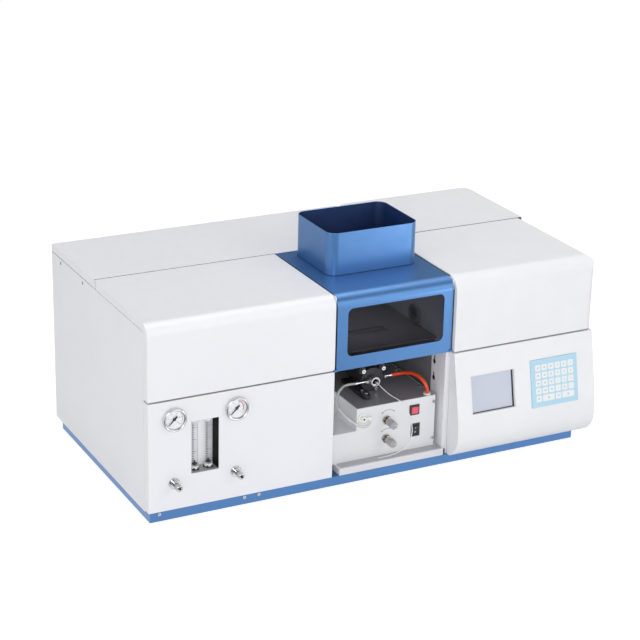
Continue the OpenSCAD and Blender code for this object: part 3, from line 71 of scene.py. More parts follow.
# Camera, at the photo's angle
cameraValues = {
    "place": (-1.79500, -3.42896, 1.76049),
    "turn": (68.87150422, -1.25877946, -26.95508636),
    "lens": 109.3657,
}
cameraData = bpy.data.cameras.new("photoCamera")
cameraData.lens = cameraValues["lens"]
cameraData.sensor_width = 36
camera = bpy.data.objects.new("photoCamera", cameraData)
camera.location = cameraValues["place"]
camera.rotation_euler = [math.radians(a) for a in cameraValues["turn"]]
scene.collection.objects.link(camera)
scene.camera = camera
print("stage: camera")


# Materials
def linearColor(code):
    parts = [int(code[i : i + 2], 16) / 255 for i in (1, 3, 5)]
    return tuple(p / 12.92 if p <= 0.04045 else ((p + 0.055) / 1.055) ** 2.4 for p in parts) + (1.0,)


def shade(color, factor):
    return tuple(min(1.0, c * factor) for c in color[:3]) + (1.0,)


def grey(value):
    return (value, value, value, 1.0)


def noiseSize(millimetres, detail=3.0):
    return {"Scale": 1 / (millimetres * mm), "Detail": detail, "Roughness": 0.55}


def addNode(tree, kind, settings=None, links=None, stops=()):
    node = tree.nodes.new(kind)
    for key, value in (settings or {}).items():
        if isinstance(key, str) and hasattr(node, key):
            setattr(node, key, value)
        else:
            node.inputs[key].default_value = value
    for key, source in (links or {}).items():
        tree.links.new(source, node.inputs[key])
    for i, (position, color) in enumerate(stops):
        node.color_ramp.elements[i].position = position
        node.color_ramp.elements[i].color = color
    return node


def startMaterial(name):
    material = bpy.data.materials.new(name)
    material.use_nodes = True
    tree = material.node_tree
    tree.nodes.clear()
    return material, tree, addNode(tree, "ShaderNodeTexCoord").outputs["Object"]


def closeMaterial(tree, settings, base, gloss=None, bump=None):
    # One surface from the nodes that colour it, dull it and give it relief
    links = {"Base Color": base.outputs["Color"]}
    if gloss:
        links["Roughness"] = gloss.outputs["Color"]
    if bump:
        links["Normal"] = bump.outputs["Normal"]
    shader = addNode(tree, "ShaderNodeBsdfPrincipled", settings, links)
    addNode(tree, "ShaderNodeOutputMaterial", links={"Surface": shader.outputs["BSDF"]})


def paint(name, code, peel=1.6, rough=(0.36, 0.46), depth=0.02, cloud=0.03, settings=None):
    # Stoved enamel on steel: an orange-peel skin, slow clouding and faint rubbing in the gloss
    color = linearColor(code)
    material, tree, place = startMaterial(name)
    slow = addNode(tree, "ShaderNodeTexNoise", noiseSize(140, 2.0), {"Vector": place})
    rub = addNode(tree, "ShaderNodeTexNoise", noiseSize(22, 5.0), {"Vector": place})
    skin = addNode(tree, "ShaderNodeTexNoise", noiseSize(peel, 2.0), {"Vector": place})
    tones = [(0.3, shade(color, 1 - cloud)), (0.7, shade(color, 1 + cloud))]
    base = addNode(tree, "ShaderNodeValToRGB", links={"Fac": slow.outputs["Fac"]}, stops=tones)
    sheen = [(0.35, grey(rough[0])), (0.65, grey(rough[1]))]
    gloss = addNode(tree, "ShaderNodeValToRGB", links={"Fac": rub.outputs["Fac"]}, stops=sheen)
    relief = {"Strength": depth * 5, "Distance": depth * mm}
    bump = addNode(tree, "ShaderNodeBump", relief, {"Height": skin.outputs["Fac"]})
    closeMaterial(tree, settings, base, gloss, bump)
    return material


def moulding(name, code, grain=0.6, rough=(0.4, 0.52), depth=0.03, settings=None):
    # Moulded plastic or rubber: a fine grain under a slight sheen, drawn coarser than real to show
    color = linearColor(code)
    material, tree, place = startMaterial(name)
    slow = addNode(tree, "ShaderNodeTexNoise", noiseSize(60), {"Vector": place})
    touch = addNode(tree, "ShaderNodeTexNoise", noiseSize(9, 4.0), {"Vector": place})
    cells = addNode(tree, "ShaderNodeTexVoronoi", {"Scale": 1 / (grain * mm)}, {"Vector": place})
    tones = [(0.3, shade(color, 0.988)), (0.7, shade(color, 1.012))]
    base = addNode(tree, "ShaderNodeValToRGB", links={"Fac": slow.outputs["Fac"]}, stops=tones)
    sheen = [(0.3, grey(rough[0])), (0.7, grey(rough[1]))]
    gloss = addNode(tree, "ShaderNodeValToRGB", links={"Fac": touch.outputs["Fac"]}, stops=sheen)
    relief = {"Strength": 0.15, "Distance": depth * mm}
    bump = addNode(tree, "ShaderNodeBump", relief, {"Height": cells.outputs["Distance"]})
    closeMaterial(tree, settings, base, gloss, bump)
    return material


def metal(name, code, rough=(0.14, 0.26), lines=(1, 1, 1), size=1.5, depth=0.01):
    # Bare or plated metal: tool marks along one way, drawn coarser than real to show, and handling smears
    color = linearColor(code)
    material, tree, place = startMaterial(name)
    along = addNode(tree, "ShaderNodeMapping", {"Scale": lines}, {"Vector": place})
    smear = addNode(tree, "ShaderNodeTexNoise", noiseSize(14, 4.0), {"Vector": place})
    marks = addNode(tree, "ShaderNodeTexNoise", noiseSize(size, 5.0), {"Vector": along.outputs["Vector"]})
    tones = [(0.3, shade(color, 0.9)), (0.75, shade(color, 1.05))]
    base = addNode(tree, "ShaderNodeValToRGB", links={"Fac": smear.outputs["Fac"]}, stops=tones)
    sheen = [(0.3, grey(rough[0])), (0.7, grey(rough[1]))]
    gloss = addNode(tree, "ShaderNodeValToRGB", links={"Fac": marks.outputs["Fac"]}, stops=sheen)
    relief = {"Strength": 0.12, "Distance": depth * mm}
    bump = addNode(tree, "ShaderNodeBump", relief, {"Height": marks.outputs["Fac"]})
    closeMaterial(tree, {"Metallic": 1.0}, base, gloss, bump)
    return material


def clear(name, code, sheen=0.035, rough=0.03):
    # Glass or clear acrylic: tinted straight through, with wiping haze in its reflections
    tint = tuple(math.sqrt(c) for c in linearColor(code)[:3]) + (1.0,)  # light passes two faces
    material, tree, place = startMaterial(name)
    wiped = addNode(tree, "ShaderNodeMapping", {"Scale": (1, 1, 3)}, {"Vector": place})
    haze = addNode(tree, "ShaderNodeTexNoise", noiseSize(18, 4.0), {"Vector": wiped.outputs["Vector"]})
    slow = addNode(tree, "ShaderNodeTexNoise", noiseSize(60), {"Vector": place})
    dulled = [(0.4, grey(rough)), (0.75, grey(rough + 0.07))]
    gloss = addNode(tree, "ShaderNodeValToRGB", links={"Fac": haze.outputs["Fac"]}, stops=dulled)
    tones = [(0.3, shade(tint, 0.98)), (0.7, shade(tint, 1.02))]
    body = addNode(tree, "ShaderNodeValToRGB", links={"Fac": slow.outputs["Fac"]}, stops=tones)
    through = addNode(tree, "ShaderNodeBsdfTransparent", links={"Color": body.outputs["Color"]})
    mirror = addNode(tree, "ShaderNodeBsdfGlossy", links={"Roughness": gloss.outputs["Color"]})
    facing = addNode(tree, "ShaderNodeLayerWeight", {"Blend": 0.5})
    power = {"operation": "POWER", 1: 4.0}
    curve = addNode(tree, "ShaderNodeMath", power, {0: facing.outputs["Facing"]})
    scale = {"operation": "MULTIPLY_ADD", 1: sheen * 8, 2: sheen}
    edge = addNode(tree, "ShaderNodeMath", scale, {0: curve.outputs["Value"]})
    layers = {0: edge.outputs["Value"], 1: through.outputs["BSDF"], 2: mirror.outputs["BSDF"]}
    mix = addNode(tree, "ShaderNodeMixShader", links=layers)
    addNode(tree, "ShaderNodeOutputMaterial", links={"Surface": mix.outputs["Shader"]})
    return material


def tubing(name, code, rough=(0.18, 0.3), weight=0.45):
    # Extruded soft tubing: half clear, half milky, with a damp sheen
    color = linearColor(code)
    material, tree, place = startMaterial(name)
    slow = addNode(tree, "ShaderNodeTexNoise", noiseSize(12), {"Vector": place})
    damp = addNode(tree, "ShaderNodeTexNoise", noiseSize(5), {"Vector": place})
    tones = [(0.3, shade(color, 0.95)), (0.7, shade(color, 1.03))]
    base = addNode(tree, "ShaderNodeValToRGB", links={"Fac": slow.outputs["Fac"]}, stops=tones)
    sheen = [(0.3, grey(rough[0])), (0.7, grey(rough[1]))]
    gloss = addNode(tree, "ShaderNodeValToRGB", links={"Fac": damp.outputs["Fac"]}, stops=sheen)
    closeMaterial(tree, {"Transmission Weight": weight, "IOR": 1.25}, base, gloss)
    return material


def ink(name, code, sheen=0.5):
    # Printed ink: matt, with the slight unevenness of screen printing
    color = linearColor(code)
    material, tree, place = startMaterial(name)
    patchy = addNode(tree, "ShaderNodeTexNoise", noiseSize(0.8), {"Vector": place})
    tones = [(0.3, shade(color, 0.9)), (0.7, shade(color, 1.12))]
    base = addNode(tree, "ShaderNodeValToRGB", links={"Fac": patchy.outputs["Fac"]}, stops=tones)
    closeMaterial(tree, {"Roughness": 0.55, "Specular IOR Level": sheen}, base)
    return material


def displayPanel(name, code):
    # Liquid crystal panel: fine pixel rows under a pale grey-blue sheet, with a faint painted glow
    color = linearColor(code)
    material, tree, place = startMaterial(name)
    rows = {"Scale": 1 / (1.2 * mm), "bands_direction": "Z"}
    wave = addNode(tree, "ShaderNodeTexWave", rows, {"Vector": place})
    tones = [(0.0, shade(color, 0.95)), (1.0, shade(color, 1.03))]
    base = addNode(tree, "ShaderNodeValToRGB", links={"Fac": wave.outputs["Fac"]}, stops=tones)
    # Painted light: a faint glow that brightens the panel
    glow = {"Emission Color": shade(color, 0.9), "Emission Strength": 0.06}
    closeMaterial(tree, {"Roughness": 0.5, "Specular IOR Level": 0.12, **glow}, base)
    return material


blueFlake = {"Metallic": 0.7, "Coat Weight": 0.3, "Coat Roughness": 0.25}
lowSheen = {"Specular IOR Level": 0.15}
materials = {
    # Enamels: cool satin whites, a deep flake blue, a dull black and a mid grey
    "case_paint": paint("caseEnamel", "#E9E9ED", cloud=0.008),
    "blue_paint": paint("blueEnamel", "#4B7AB0", rough=(0.36, 0.42), cloud=0.01, settings=blueFlake),
    "dark_paint": paint("blackEnamel", "#242426", rough=(0.45, 0.6), cloud=0.12),
    "grey_paint": paint("greyEnamel", "#848389", rough=(0.36, 0.48), cloud=0.04),
    "light_paint": paint("paleGreyEnamel", "#E2E3E6", rough=(0.34, 0.46), cloud=0.01),
    # Metals: brushed sheet, mirror-bright plating, warm turned brass and softly milled alloy
    "sheet_steel": metal("brushedSteel", "#B9BBBE", (0.28, 0.42), (1, 12, 1), 2.0),
    "plating": metal("nickelPlate", "#C4C4C6", (0.05, 0.11)),
    "brass_fitting": metal("turnedBrass", "#C59A52", (0.2, 0.34), (1, 1, 8)),
    "alloy": metal("machinedAlloy", "#C4C7CB", (0.26, 0.4), (1, 8, 1)),
    # Clear pieces: glass that hardly shows, a smoked pane and faintly amber bulbs
    "clear_glass": clear("clearGlass", "#FEFEFF", 0.01),
    "smoked_window": clear("smokedAcrylic", "#95949B", 0.009, 0.02),
    "lamp_glass": clear("lampGlass", "#EFE7D0", 0.04),
    # Mouldings: soft whites, dull black, a glossy red button, satin grips, film, rubber and hose
    "moulded_white": moulding("whiteMoulding", "#EAEAEC", settings={"Specular IOR Level": 0.3}),
    "white_plastic": moulding("ivoryMoulding", "#EDECE6", 0.4),
    "black_plastic": moulding("blackMoulding", "#2A2A2C", 0.5, (0.38, 0.5)),
    "red_plastic": moulding("redMoulding", "#E2586A", 0.3, (0.18, 0.28), 0.01),
    "grey_plastic": moulding("greyGrip", "#A0A0A2", 0.4, (0.3, 0.42)),
    "keypad_film": moulding("membraneFilm", "#B6D8EA", 0.3, (0.4, 0.5), 0.01, lowSheen),
    "rubber_black": moulding("blackRubber", "#1F1F20", 0.8, (0.6, 0.75), 0.05),
    "hose_orange": moulding("orangeHose", "#E64A1C", 1.2, (0.26, 0.36), 0.01),
    "board_green": moulding("boardLaminate", "#2E6B3C", 0.8, (0.35, 0.5)),
    "tube_clear": tubing("clearTubing", "#E6E8E4"),
    "display_panel": displayPanel("liquidCrystal", "#C6CAD8"),
    "needle_black": ink("needlePaint", "#232326"),
}
# Finishes of single pieces
inkBlack = ink("blackInk", "#2B2B30")
inkGrey = ink("greyInk", "#85878A")
inkRed = ink("redInk", "#D2424B")
inkWhite = ink("whiteInk", "#F4F4F1")
recessDark = ink("recessShadow", "#131315", 0.08)  # unlit hollows, almost without sheen
dialCard = moulding("dialCard", "#F9FBFE", 0.9, (0.45, 0.55), 0.005)  # bright, smooth card
keyFilm = moulding("keyFilm", "#E9EDED", 0.3, (0.4, 0.5), 0.006, lowSheen)
# grey that paints the shade on the drip tray's top
matGrey = moulding("matGrey", "#AEAFB4", 1.2, (0.5, 0.6), 0.04)
sealFoam = moulding("sealFoam", "#0E0F13", 0.9, (0.7, 0.85), 0.06)  # nearly black, to paint the shade in a seam
trayEnamel = paint("trayEnamel", "#DDDEE1", rough=(0.34, 0.46), cloud=0.01)
flueEnamel = paint("flueEnamel", "#17305F", rough=(0.4, 0.55), cloud=0.1)  # dark blue that paints the shade inside the flue
agedNickel = metal("agedNickel", "#8C7F72", (0.14, 0.28))
satinChrome = metal("satinChrome", "#DADADD", (0.2, 0.3))
nodeFinish = {"drip_tray": trayEnamel, "chamber_fittings": satinChrome, "nebulizer": satinChrome}
print("stage: materials")


# Mesh helpers
def finishPiece(work, name, body, slotName, material, smooth=35, sharpen=True):
    bmesh.ops.recalc_face_normals(work, faces=work.faces)
    for face in work.faces:
        face.smooth = True
    for edge in work.edges:
        edge.smooth = not (edge.is_manifold and edge.calc_face_angle() > math.radians(smooth))
    mesh = bpy.data.meshes.new(name)
    work.to_mesh(mesh)
    work.free()
    piece = bpy.data.objects.new(name, mesh)
    scene.collection.objects.link(piece)
    mesh.materials.append(material or materials[slotName])
    if sharpen:
        weighted = piece.modifiers.new("flatNormals", "WEIGHTED_NORMAL")
        weighted.keep_sharp = True
    if body:
        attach(piece, body)
    return piece


def softCopy(node, name, width, angle=32, segments=2):
    # A copy of a CAD node with its sharp edges rounded, shown in its place
    work = bmesh.new()
    work.from_mesh(nodes[node].data)
    bmesh.ops.remove_doubles(work, verts=work.verts, dist=2e-6)
    bmesh.ops.dissolve_limit(work, angle_limit=math.radians(0.8), verts=work.verts, edges=work.edges)
    sharp = [e for e in work.edges if e.is_manifold and e.calc_face_angle() > math.radians(angle)]
    bmesh.ops.bevel(
        work,
        geom=sharp,
        offset=width * mm,
        offset_type="OFFSET",
        segments=segments,
        profile=0.5,
        affect="EDGES",
        clamp_overlap=True,
        material=-1,
    )
    piece = finishPiece(work, name, nodeBodies[node], nodeSlots[node], nodeFinish.get(node), 40)
    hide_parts(node)


def placeAt(x, y, z):
    return Matrix.Translation((x * mm, y * mm, z * mm))


def frontFrame(x, y, z):
    # A place on a front face, its own z axis towards the user
    return placeAt(x, y, z) @ Matrix.Rotation(math.radians(90), 4, "X")


def addBox(work, low, high, place):
    size = [(b - a) * mm for a, b in zip(low, high)]
    centre = [(b + a) / 2 * mm for a, b in zip(low, high)]
    matrix = place @ Matrix.Translation(centre) @ Matrix.Diagonal((*size, 1))
    bmesh.ops.create_cube(work, size=1, matrix=matrix)


def addLathe(work, profile, place, segments=48):
    # profile: radius and height pairs in mm, from one end to the other
    verts = [work.verts.new(place @ Vector((r * mm, 0, h * mm))) for r, h in profile]
    edges = [work.edges.new(pair) for pair in zip(verts, verts[1:])]
    bmesh.ops.spin(
        work,
        geom=verts + edges,
        cent=place.translation,
        axis=place.to_3x3() @ Vector((0, 0, 1)),
        angle=2 * math.pi,
        steps=segments,
        use_merge=True,
    )
    bmesh.ops.remove_doubles(work, verts=work.verts, dist=1e-7)


def bandProfile(inner, outer, low, high):
    return [(inner, low), (outer, low), (outer, high), (inner, high), (inner, low)]


def discProfile(radius, low, high):
    return [(0, low), (radius, low), (radius, high), (0, high)]


def addRibs(work, count, low, high, place):
    # The same small box, set round an axis
    for k in range(count):
        addBox(work, low, high, place @ Matrix.Rotation(2 * math.pi * k / count, 4, "Z"))


def outlineVerts(work, points, height, place):
    return [work.verts.new(place @ Vector((x * mm, y * mm, height * mm))) for x, y in points]


def drawOut(work, faces, height, place):
    grown = bmesh.ops.extrude_face_region(work, geom=faces)
    moved = [g for g in grown["geom"] if isinstance(g, bmesh.types.BMVert)]
    bmesh.ops.translate(work, verts=moved, vec=place.to_3x3() @ Vector((0, 0, height * mm)))


def addOutline(work, points, low, high, place):
    # A flat outline in mm, drawn out from low to high
    drawOut(work, [work.faces.new(outlineVerts(work, points, low, place))], high - low, place)


def addRing(work, outer, inner, low, high, place):
    # A closed band between two outlines, drawn out from low to high
    edges = []
    for outline in (outer, inner):
        verts = outlineVerts(work, outline, low, place)
        edges += [work.edges.new(pair) for pair in zip(verts, verts[1:] + verts[:1])]
    drawOut(work, bmesh.ops.bridge_loops(work, edges=edges)["faces"], high - low, place)


def roundedOutline(width, height, radius, centre=(0, 0), steps=5):
    points = []
    for cornerX, cornerY, start in ((1, 1, 0), (-1, 1, 90), (-1, -1, 180), (1, -1, 270)):
        for i in range(steps + 1):
            a = math.radians(start + 90 * i / steps)
            x = centre[0] + cornerX * (width / 2 - radius) + radius * math.cos(a)
            y = centre[1] + cornerY * (height / 2 - radius) + radius * math.sin(a)
            points.append((x, y))
    return points


def spanOutline(one, two, radius):
    # A rounded rectangle from the ends of its two sides
    sizes = [high - low for low, high in (one, two)]
    return roundedOutline(*sizes, radius, (sum(one) / 2, sum(two) / 2))


def arcOutline(inner, outer, start, end, steps=24):
    angles = [math.radians(start + (end - start) * i / steps) for i in range(steps + 1)]
    points = [(outer * math.cos(a), outer * math.sin(a)) for a in angles]
    points += [(inner * math.cos(a), inner * math.sin(a)) for a in reversed(angles)]
    return points


def addWords(work, words, size, place, thick=0.06):
    curve = bpy.data.curves.new("words", "FONT")
    curve.body = words
    curve.size = size * mm
    curve.align_x = "CENTER"
    curve.align_y = "CENTER"
    curve.extrude = thick * mm / 2
    holder = bpy.data.objects.new("words", curve)
    scene.collection.objects.link(holder)
    bpy.context.view_layer.update()
    mesh = bpy.data.meshes.new_from_object(holder.evaluated_get(bpy.context.evaluated_depsgraph_get()))
    mesh.transform(place @ Matrix.Translation((0, 0, thick * mm / 2)))
    work.from_mesh(mesh)
    bpy.data.objects.remove(holder)
    bpy.data.meshes.remove(mesh)


# Cords
def smoothRoute(points, steps):
    # A smooth curve through every point
    spots = [Vector(p) * mm for p in points]
    path = []
    for i in range(len(spots) - 1):
        a = spots[max(i - 1, 0)]
        b, c = spots[i], spots[i + 1]
        d = spots[min(i + 2, len(spots) - 1)]
        square, cube = 2 * a - 5 * b + 4 * c - d, 3 * b - a - 3 * c + d
        for t in (k / steps for k in range(steps)):
            path.append(0.5 * (2 * b + (c - a) * t + square * t * t + cube * t * t * t))
    path.append(spots[-1])
    return path


def tubeAlong(path, radius, sides):
    # A round tube whose rings turn along the path without twisting
    work = bmesh.new()
    rings = []
    side = None
    for i, spot in enumerate(path):
        ahead = (path[min(i + 1, len(path) - 1)] - path[max(i - 1, 0)]).normalized()
        side = ahead.orthogonal() if side is None else side - ahead * side.dot(ahead)
        side.normalize()
        up = ahead.cross(side)
        turns = [2 * math.pi * k / sides for k in range(sides)]
        spokes = [radius * (math.cos(a) * side + math.sin(a) * up) for a in turns]
        rings.append([work.verts.new(spot + spoke) for spoke in spokes])
    for one, two in zip(rings, rings[1:]):
        for k in range(sides):
            work.faces.new((one[k], one[(k + 1) % sides], two[(k + 1) % sides], two[k]))
    work.faces.new(list(reversed(rings[0])))
    work.faces.new(rings[-1])
    return work


cordValues = {
    "fuelHose": {
        "node": "fuel_hose",
        "slot": "hose_orange",
        "radius": 3.8,
        "sides": 20,
        "far": "object",
        "stiffness": "medium",
        "route": [
            (82.2, -144.5, 180), (90.5, -144.7, 180.1), (99, -147.8, 181.6), (106, -153.2, 183.7),
            (111.7, -160.2, 185.7), (116.1, -168, 187.2), (119.7, -176.2, 187.7), (122.9, -184.5, 186.9),
            (125.9, -192.5, 184.2), (128.8, -199.7, 179.6), (131.4, -205.3, 173), (133.3, -209.1, 164.8),
            (133.5, -209.5, 156.2),
        ],
    },
    "airTube": {
        "node": "air_tube",
        "slot": "tube_clear",
        "radius": 2.5,
        "sides": 18,
        "far": "object",
        "stiffness": "limp",
        "route": [
            (-10.2, -155.5, 180), (-15.8, -155.5, 180.1), (-21.4, -155.8, 180.5), (-26.9, -156.6, 181),
            (-32.4, -158, 181.1), (-37.7, -159.8, 180.7), (-42.7, -162.1, 179.6), (-47.4, -164.5, 177.8),
            (-51.8, -167.1, 175.4), (-55.8, -169.9, 172.6), (-59.3, -172.9, 169.4), (-62.5, -176.2, 166.1),
            (-65.2, -179.8, 162.9), (-67.4, -184, 159.8), (-69.2, -188.6, 157.2), (-70.4, -193.5, 154.7),
            (-70.6, -198.6, 152.4), (-70, -203.5, 149.8), (-68.5, -208.2, 147), (-66.4, -212.3, 143.9),
            (-63.7, -215.8, 140.4), (-60.5, -218.7, 136.8), (-56.7, -221, 133.3), (-52.7, -222.7, 129.8),
            (-48.3, -223.7, 126.4), (-43.9, -224.2, 123), (-39.4, -224.3, 119.7), (-34.7, -224.5, 116.6),
            (-29.6, -224.9, 114.2), (-24.2, -225.8, 113), (-19, -226.9, 113.6), (-14.5, -227.8, 116.6),
            (-11.5, -228, 121.3), (-11, -228, 126.8),
        ],
    },
    "sampleCapillary": {
        "node": "sample_capillary",
        "slot": "tube_clear",
        "radius": 0.9,
        "sides": 12,
        "far": "bare",
        "stiffness": "limp",
        "route": [
            (34, -171, 180), (34, -173, 180), (34, -175, 180), (41, -187, 171), (50, -201, 162),
            (60, -220, 156), (68, -228, 150), (78, -233, 128), (86, -233, 100), (86, -234, 78),
            (76, -236, 57), (56, -234, 44), (32, -233, 39.6), (8, -233, 39.2),
        ],
    },
}
cordPaint = {"sampleCapillary": moulding("whiteCapillary", "#EDEEEC", 0.5, (0.3, 0.4), 0.004)}
for name, values in cordValues.items():
    path = smoothRoute(values["route"], 8)
    work = tubeAlong(path, values["radius"] * mm, values["sides"])
    piece = finishPiece(work, name, None, values["slot"], cordPaint.get(name), 60, False)
    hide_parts(values["node"])
    start, end = Vector(values["route"][-1]) * mm, Vector(values["route"][0]) * mm
    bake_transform(piece)
print("stage: cords")

# CAD nodes take the finish of their slots
for name, node in nodes.items():
    node.data.materials.clear()
    node.data.materials.append(nodeFinish.get(name) or materials[nodeSlots[name]])

# Softened edges on the formed and moulded pieces
softValues = {
    "base_pan": 0.8,
    "left_side_panel": 0.7,
    "right_side_panel": 0.7,
    "rear_panel": 0.6,
    "rear_lid_left": 0.7,
    "rear_lid_right": 0.8,
    "lamp_cover": 0.7,
    "gas_panel": 0.6,
    "flame_hood": 0.7,
    "chimney": 0.6,
    "bay_liner": 0.5,
    "inner_frame": 0.6,
    "drip_tray": 0.6,
    "gas_box": 0.6,
    "gas_box_top": 0.5,
    "gauge_cases": 1.2,
    "valve_bushes": 0.4,
    "box_fittings": 0.4,
    "switch_bezels": 0.4,
    "ignition_button": 1.0,
    "power_rocker": 0.7,
    "burner_stand": 0.5,
    "mixing_chamber": 0.8,
    "nebulizer": 0.5,
    "chamber_fittings": 0.3,
    "burner_head": 0.6,
    "mono_cover": 0.8,
    "control_fascia": 0.8,
    "keypad": 0.15,
    "case_screws": 0.3,
    "base_feet": 1.0,
    "lens_mounts": 0.5,
    "mains_inlet": 0.5,
    "gas_inlets": 0.3,
    "flowmeter_housing": 0.3,
    "height_knob": 0.5,
    "trim_knob": 0.5,
}
for node, width in softValues.items():
    words = node.split("_")
    softCopy(node, words[0] + "".join(w.title() for w in words[1:]) + "Soft", width)
print("stage: soft edges")

# Gauge dials: card, scale and red band
dialValues = {
    "fuel": {"red": None, "numbers": ["0", "2", "4", "6", "8", "10"]},
    "air": {"red": (75, -30), "numbers": ["0", "1", "2", "3", "4", "5"]},
    "behind": 3,  # from the needle's pivot back to the card
    "hub": 2.6,
    "edge": 19.7,
    "inside": 19.4,
    "thick": 0.4,
    "rim": 4.7,
    "sweep": (225, -45),  # degrees, from zero to full scale
    "tickCount": 50,
    "ticks": {10: (14.6, 0.3), 5: (16.2, 0.14), 1: (17, 0.14)},  # inner radius and half width, by step
    "arc": (18.2, 18.5),
    "print": (0.38, 0.46),
    "numberR": 11.6,
    "numberSize": 4.0,
    "redR": (14.4, 16.0),
    "redPrint": (0.4, 0.44),
}


def sweepAngle(share):
    start, end = dialValues["sweep"]
    return math.radians(start + (end - start) * share)


for name in ("fuel", "air"):
    values = dialValues[name]
    x, y, z = pivots[name + "_needle"]
    place = frontFrame(x, y + dialValues["behind"], z)
    hub, edge, inside, thick, rim = (dialValues[k] for k in ("hub", "edge", "inside", "thick", "rim"))
    profile = [(hub, 0), (edge, 0), (edge, rim), (inside, rim), (inside, thick), (hub, thick), (hub, 0)]
    work = bmesh.new()
    addLathe(work, profile, place, 64)
    finishPiece(work, name + "DialFace", "case", "white_plastic", dialCard)
    low, high = dialValues["print"]
    work = bmesh.new()
    for i in range(dialValues["tickCount"] + 1):
        inner, half = next(size for step, size in dialValues["ticks"].items() if i % step == 0)
        turned = place @ Matrix.Rotation(sweepAngle(i / dialValues["tickCount"]), 4, "Z")
        addBox(work, (inner, -half, low), (dialValues["arc"][0], half, high), turned)
    for i, number in enumerate(values["numbers"]):
        a, reach = sweepAngle(i / (len(values["numbers"]) - 1)), dialValues["numberR"]
        spot = placeAt(reach * math.cos(a), reach * math.sin(a), low)
        addWords(work, number, dialValues["numberSize"], place @ spot)
    addOutline(work, arcOutline(*dialValues["arc"], *dialValues["sweep"], 60), low, high, place)
    finishPiece(work, name + "DialScale", "case", "needle_black", inkBlack)
    if values["red"]:
        work = bmesh.new()
        band = arcOutline(*dialValues["redR"], *values["red"])
        addOutline(work, band, *dialValues["redPrint"], place)
        finishPiece(work, name + "DialRedBand", "case", "red_plastic", inkRed)

# Rounded bezels over the gauge rims, drawn out from the gas panel
panelY = boxOf("gas_panel")[0][1]
bezelValues = {
    "profile": [
        (23, 0.4), (24.05, 0.4), (24.6, 1.2), (24.9, 3), (24.7, 6), (24.1, 8), (23.1, 9.2), (22.1, 9.5),
        (21.2, 9.2), (20.7, 8.6), (20.6, 8.05), (22, 8.02), (23, 0.4),
    ],
}
for name in ("fuel", "air"):
    x, y, z = pivots[name + "_needle"]
    work = bmesh.new()
    addLathe(work, bezelValues["profile"], frontFrame(x, panelY, z), 72)
    finishPiece(work, name + "GaugeBezel", "case", "plating", satinChrome)

# Flowmeter: back card, dark side that paints the shade on the recess's right wall, floor plate and scales on the
# tubes
flowValues = {
    "tubeR": 7.0,
    "opening": (58.6, 111.4),
    "depth": 30,
    "middleY": -229.5,
    "cardY": -213.6,
    "cardThick": 0.5,
    "sideX": -360.05,
    "floorZ": 93.05,
    "plateThick": 0.35,
    "plateCorner": 0.6,
    "scaleZ": (108, 190),
    "steps": 16,
    "nearTurns": {5: 20, 1: 32},  # degrees from the tube's front to a tick's near end, by step
    "farTurn": 66,
    "tickHalf": 0.8,
    "tickSkin": (0.02, 0.08),
}
width, height = flowValues["opening"]
depth, thick, corner = (flowValues[k] for k in ("depth", "plateThick", "plateCorner"))
low, high = boxOf("flowmeter_housing")
x, y, z = (low[0] + high[0]) / 2, flowValues["middleY"], (low[2] + high[2]) / 2
card = frontFrame(x, flowValues["cardY"], z)
work = bmesh.new()
addOutline(work, roundedOutline(width, height, 1), 0, flowValues["cardThick"], card)
finishPiece(work, "flowBackCard", "case", "white_plastic", dialCard)
side = placeAt(flowValues["sideX"], y, z) @ Matrix.Rotation(math.radians(-90), 4, "Y")
work = bmesh.new()
addOutline(work, roundedOutline(height, depth, corner), 0, thick, side)
finishPiece(work, "flowSideStrip", "case", "black_plastic", recessDark)
work = bmesh.new()
addOutline(work, roundedOutline(width, depth, corner), 0, thick, placeAt(x, y, flowValues["floorZ"]))
finishPiece(work, "flowFloorPlate", "case", "grey_plastic", None)
low, high = flowValues["scaleZ"]
inner, outer = (flowValues["tubeR"] + skin for skin in flowValues["tickSkin"])
far, half = flowValues["farTurn"], flowValues["tickHalf"]
for name in ("fuel", "air"):
    x, y, z = pivots[name + "_float"]
    work = bmesh.new()
    for i in range(flowValues["steps"] + 1):
        near = next(turn for step, turn in flowValues["nearTurns"].items() if i % step == 0)
        place = placeAt(x, y, low + (high - low) * i / flowValues["steps"])
        for start, end in ((-90 - far, -90 - near), (-90 + near, -90 + far)):
            addOutline(work, arcOutline(inner, outer, start, end, 8), -half, half, place)
    finishPiece(work, name + "TubeScale", "case", "needle_black", inkBlack)

# Floats, turned with a wide skirt
floatValues = {
    "above": 0.3,  # over the pivot of the float's slide
    "profile": [(0, 0), (3.2, 0), (4.9, 1.3), (4.9, 2.9), (2.2, 3.9), (1.2, 8.6), (0, 9.6)],
}
for name in ("fuel", "air"):
    node = name + "_float"
    x, y, z = pivots[node]
    work = bmesh.new()
    addLathe(work, floatValues["profile"], placeAt(x, y, z + floatValues["above"]), 40)
    piece = finishPiece(work, name + "FloatTurned", nodeBodies[node], nodeSlots[node], None)
    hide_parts(node)
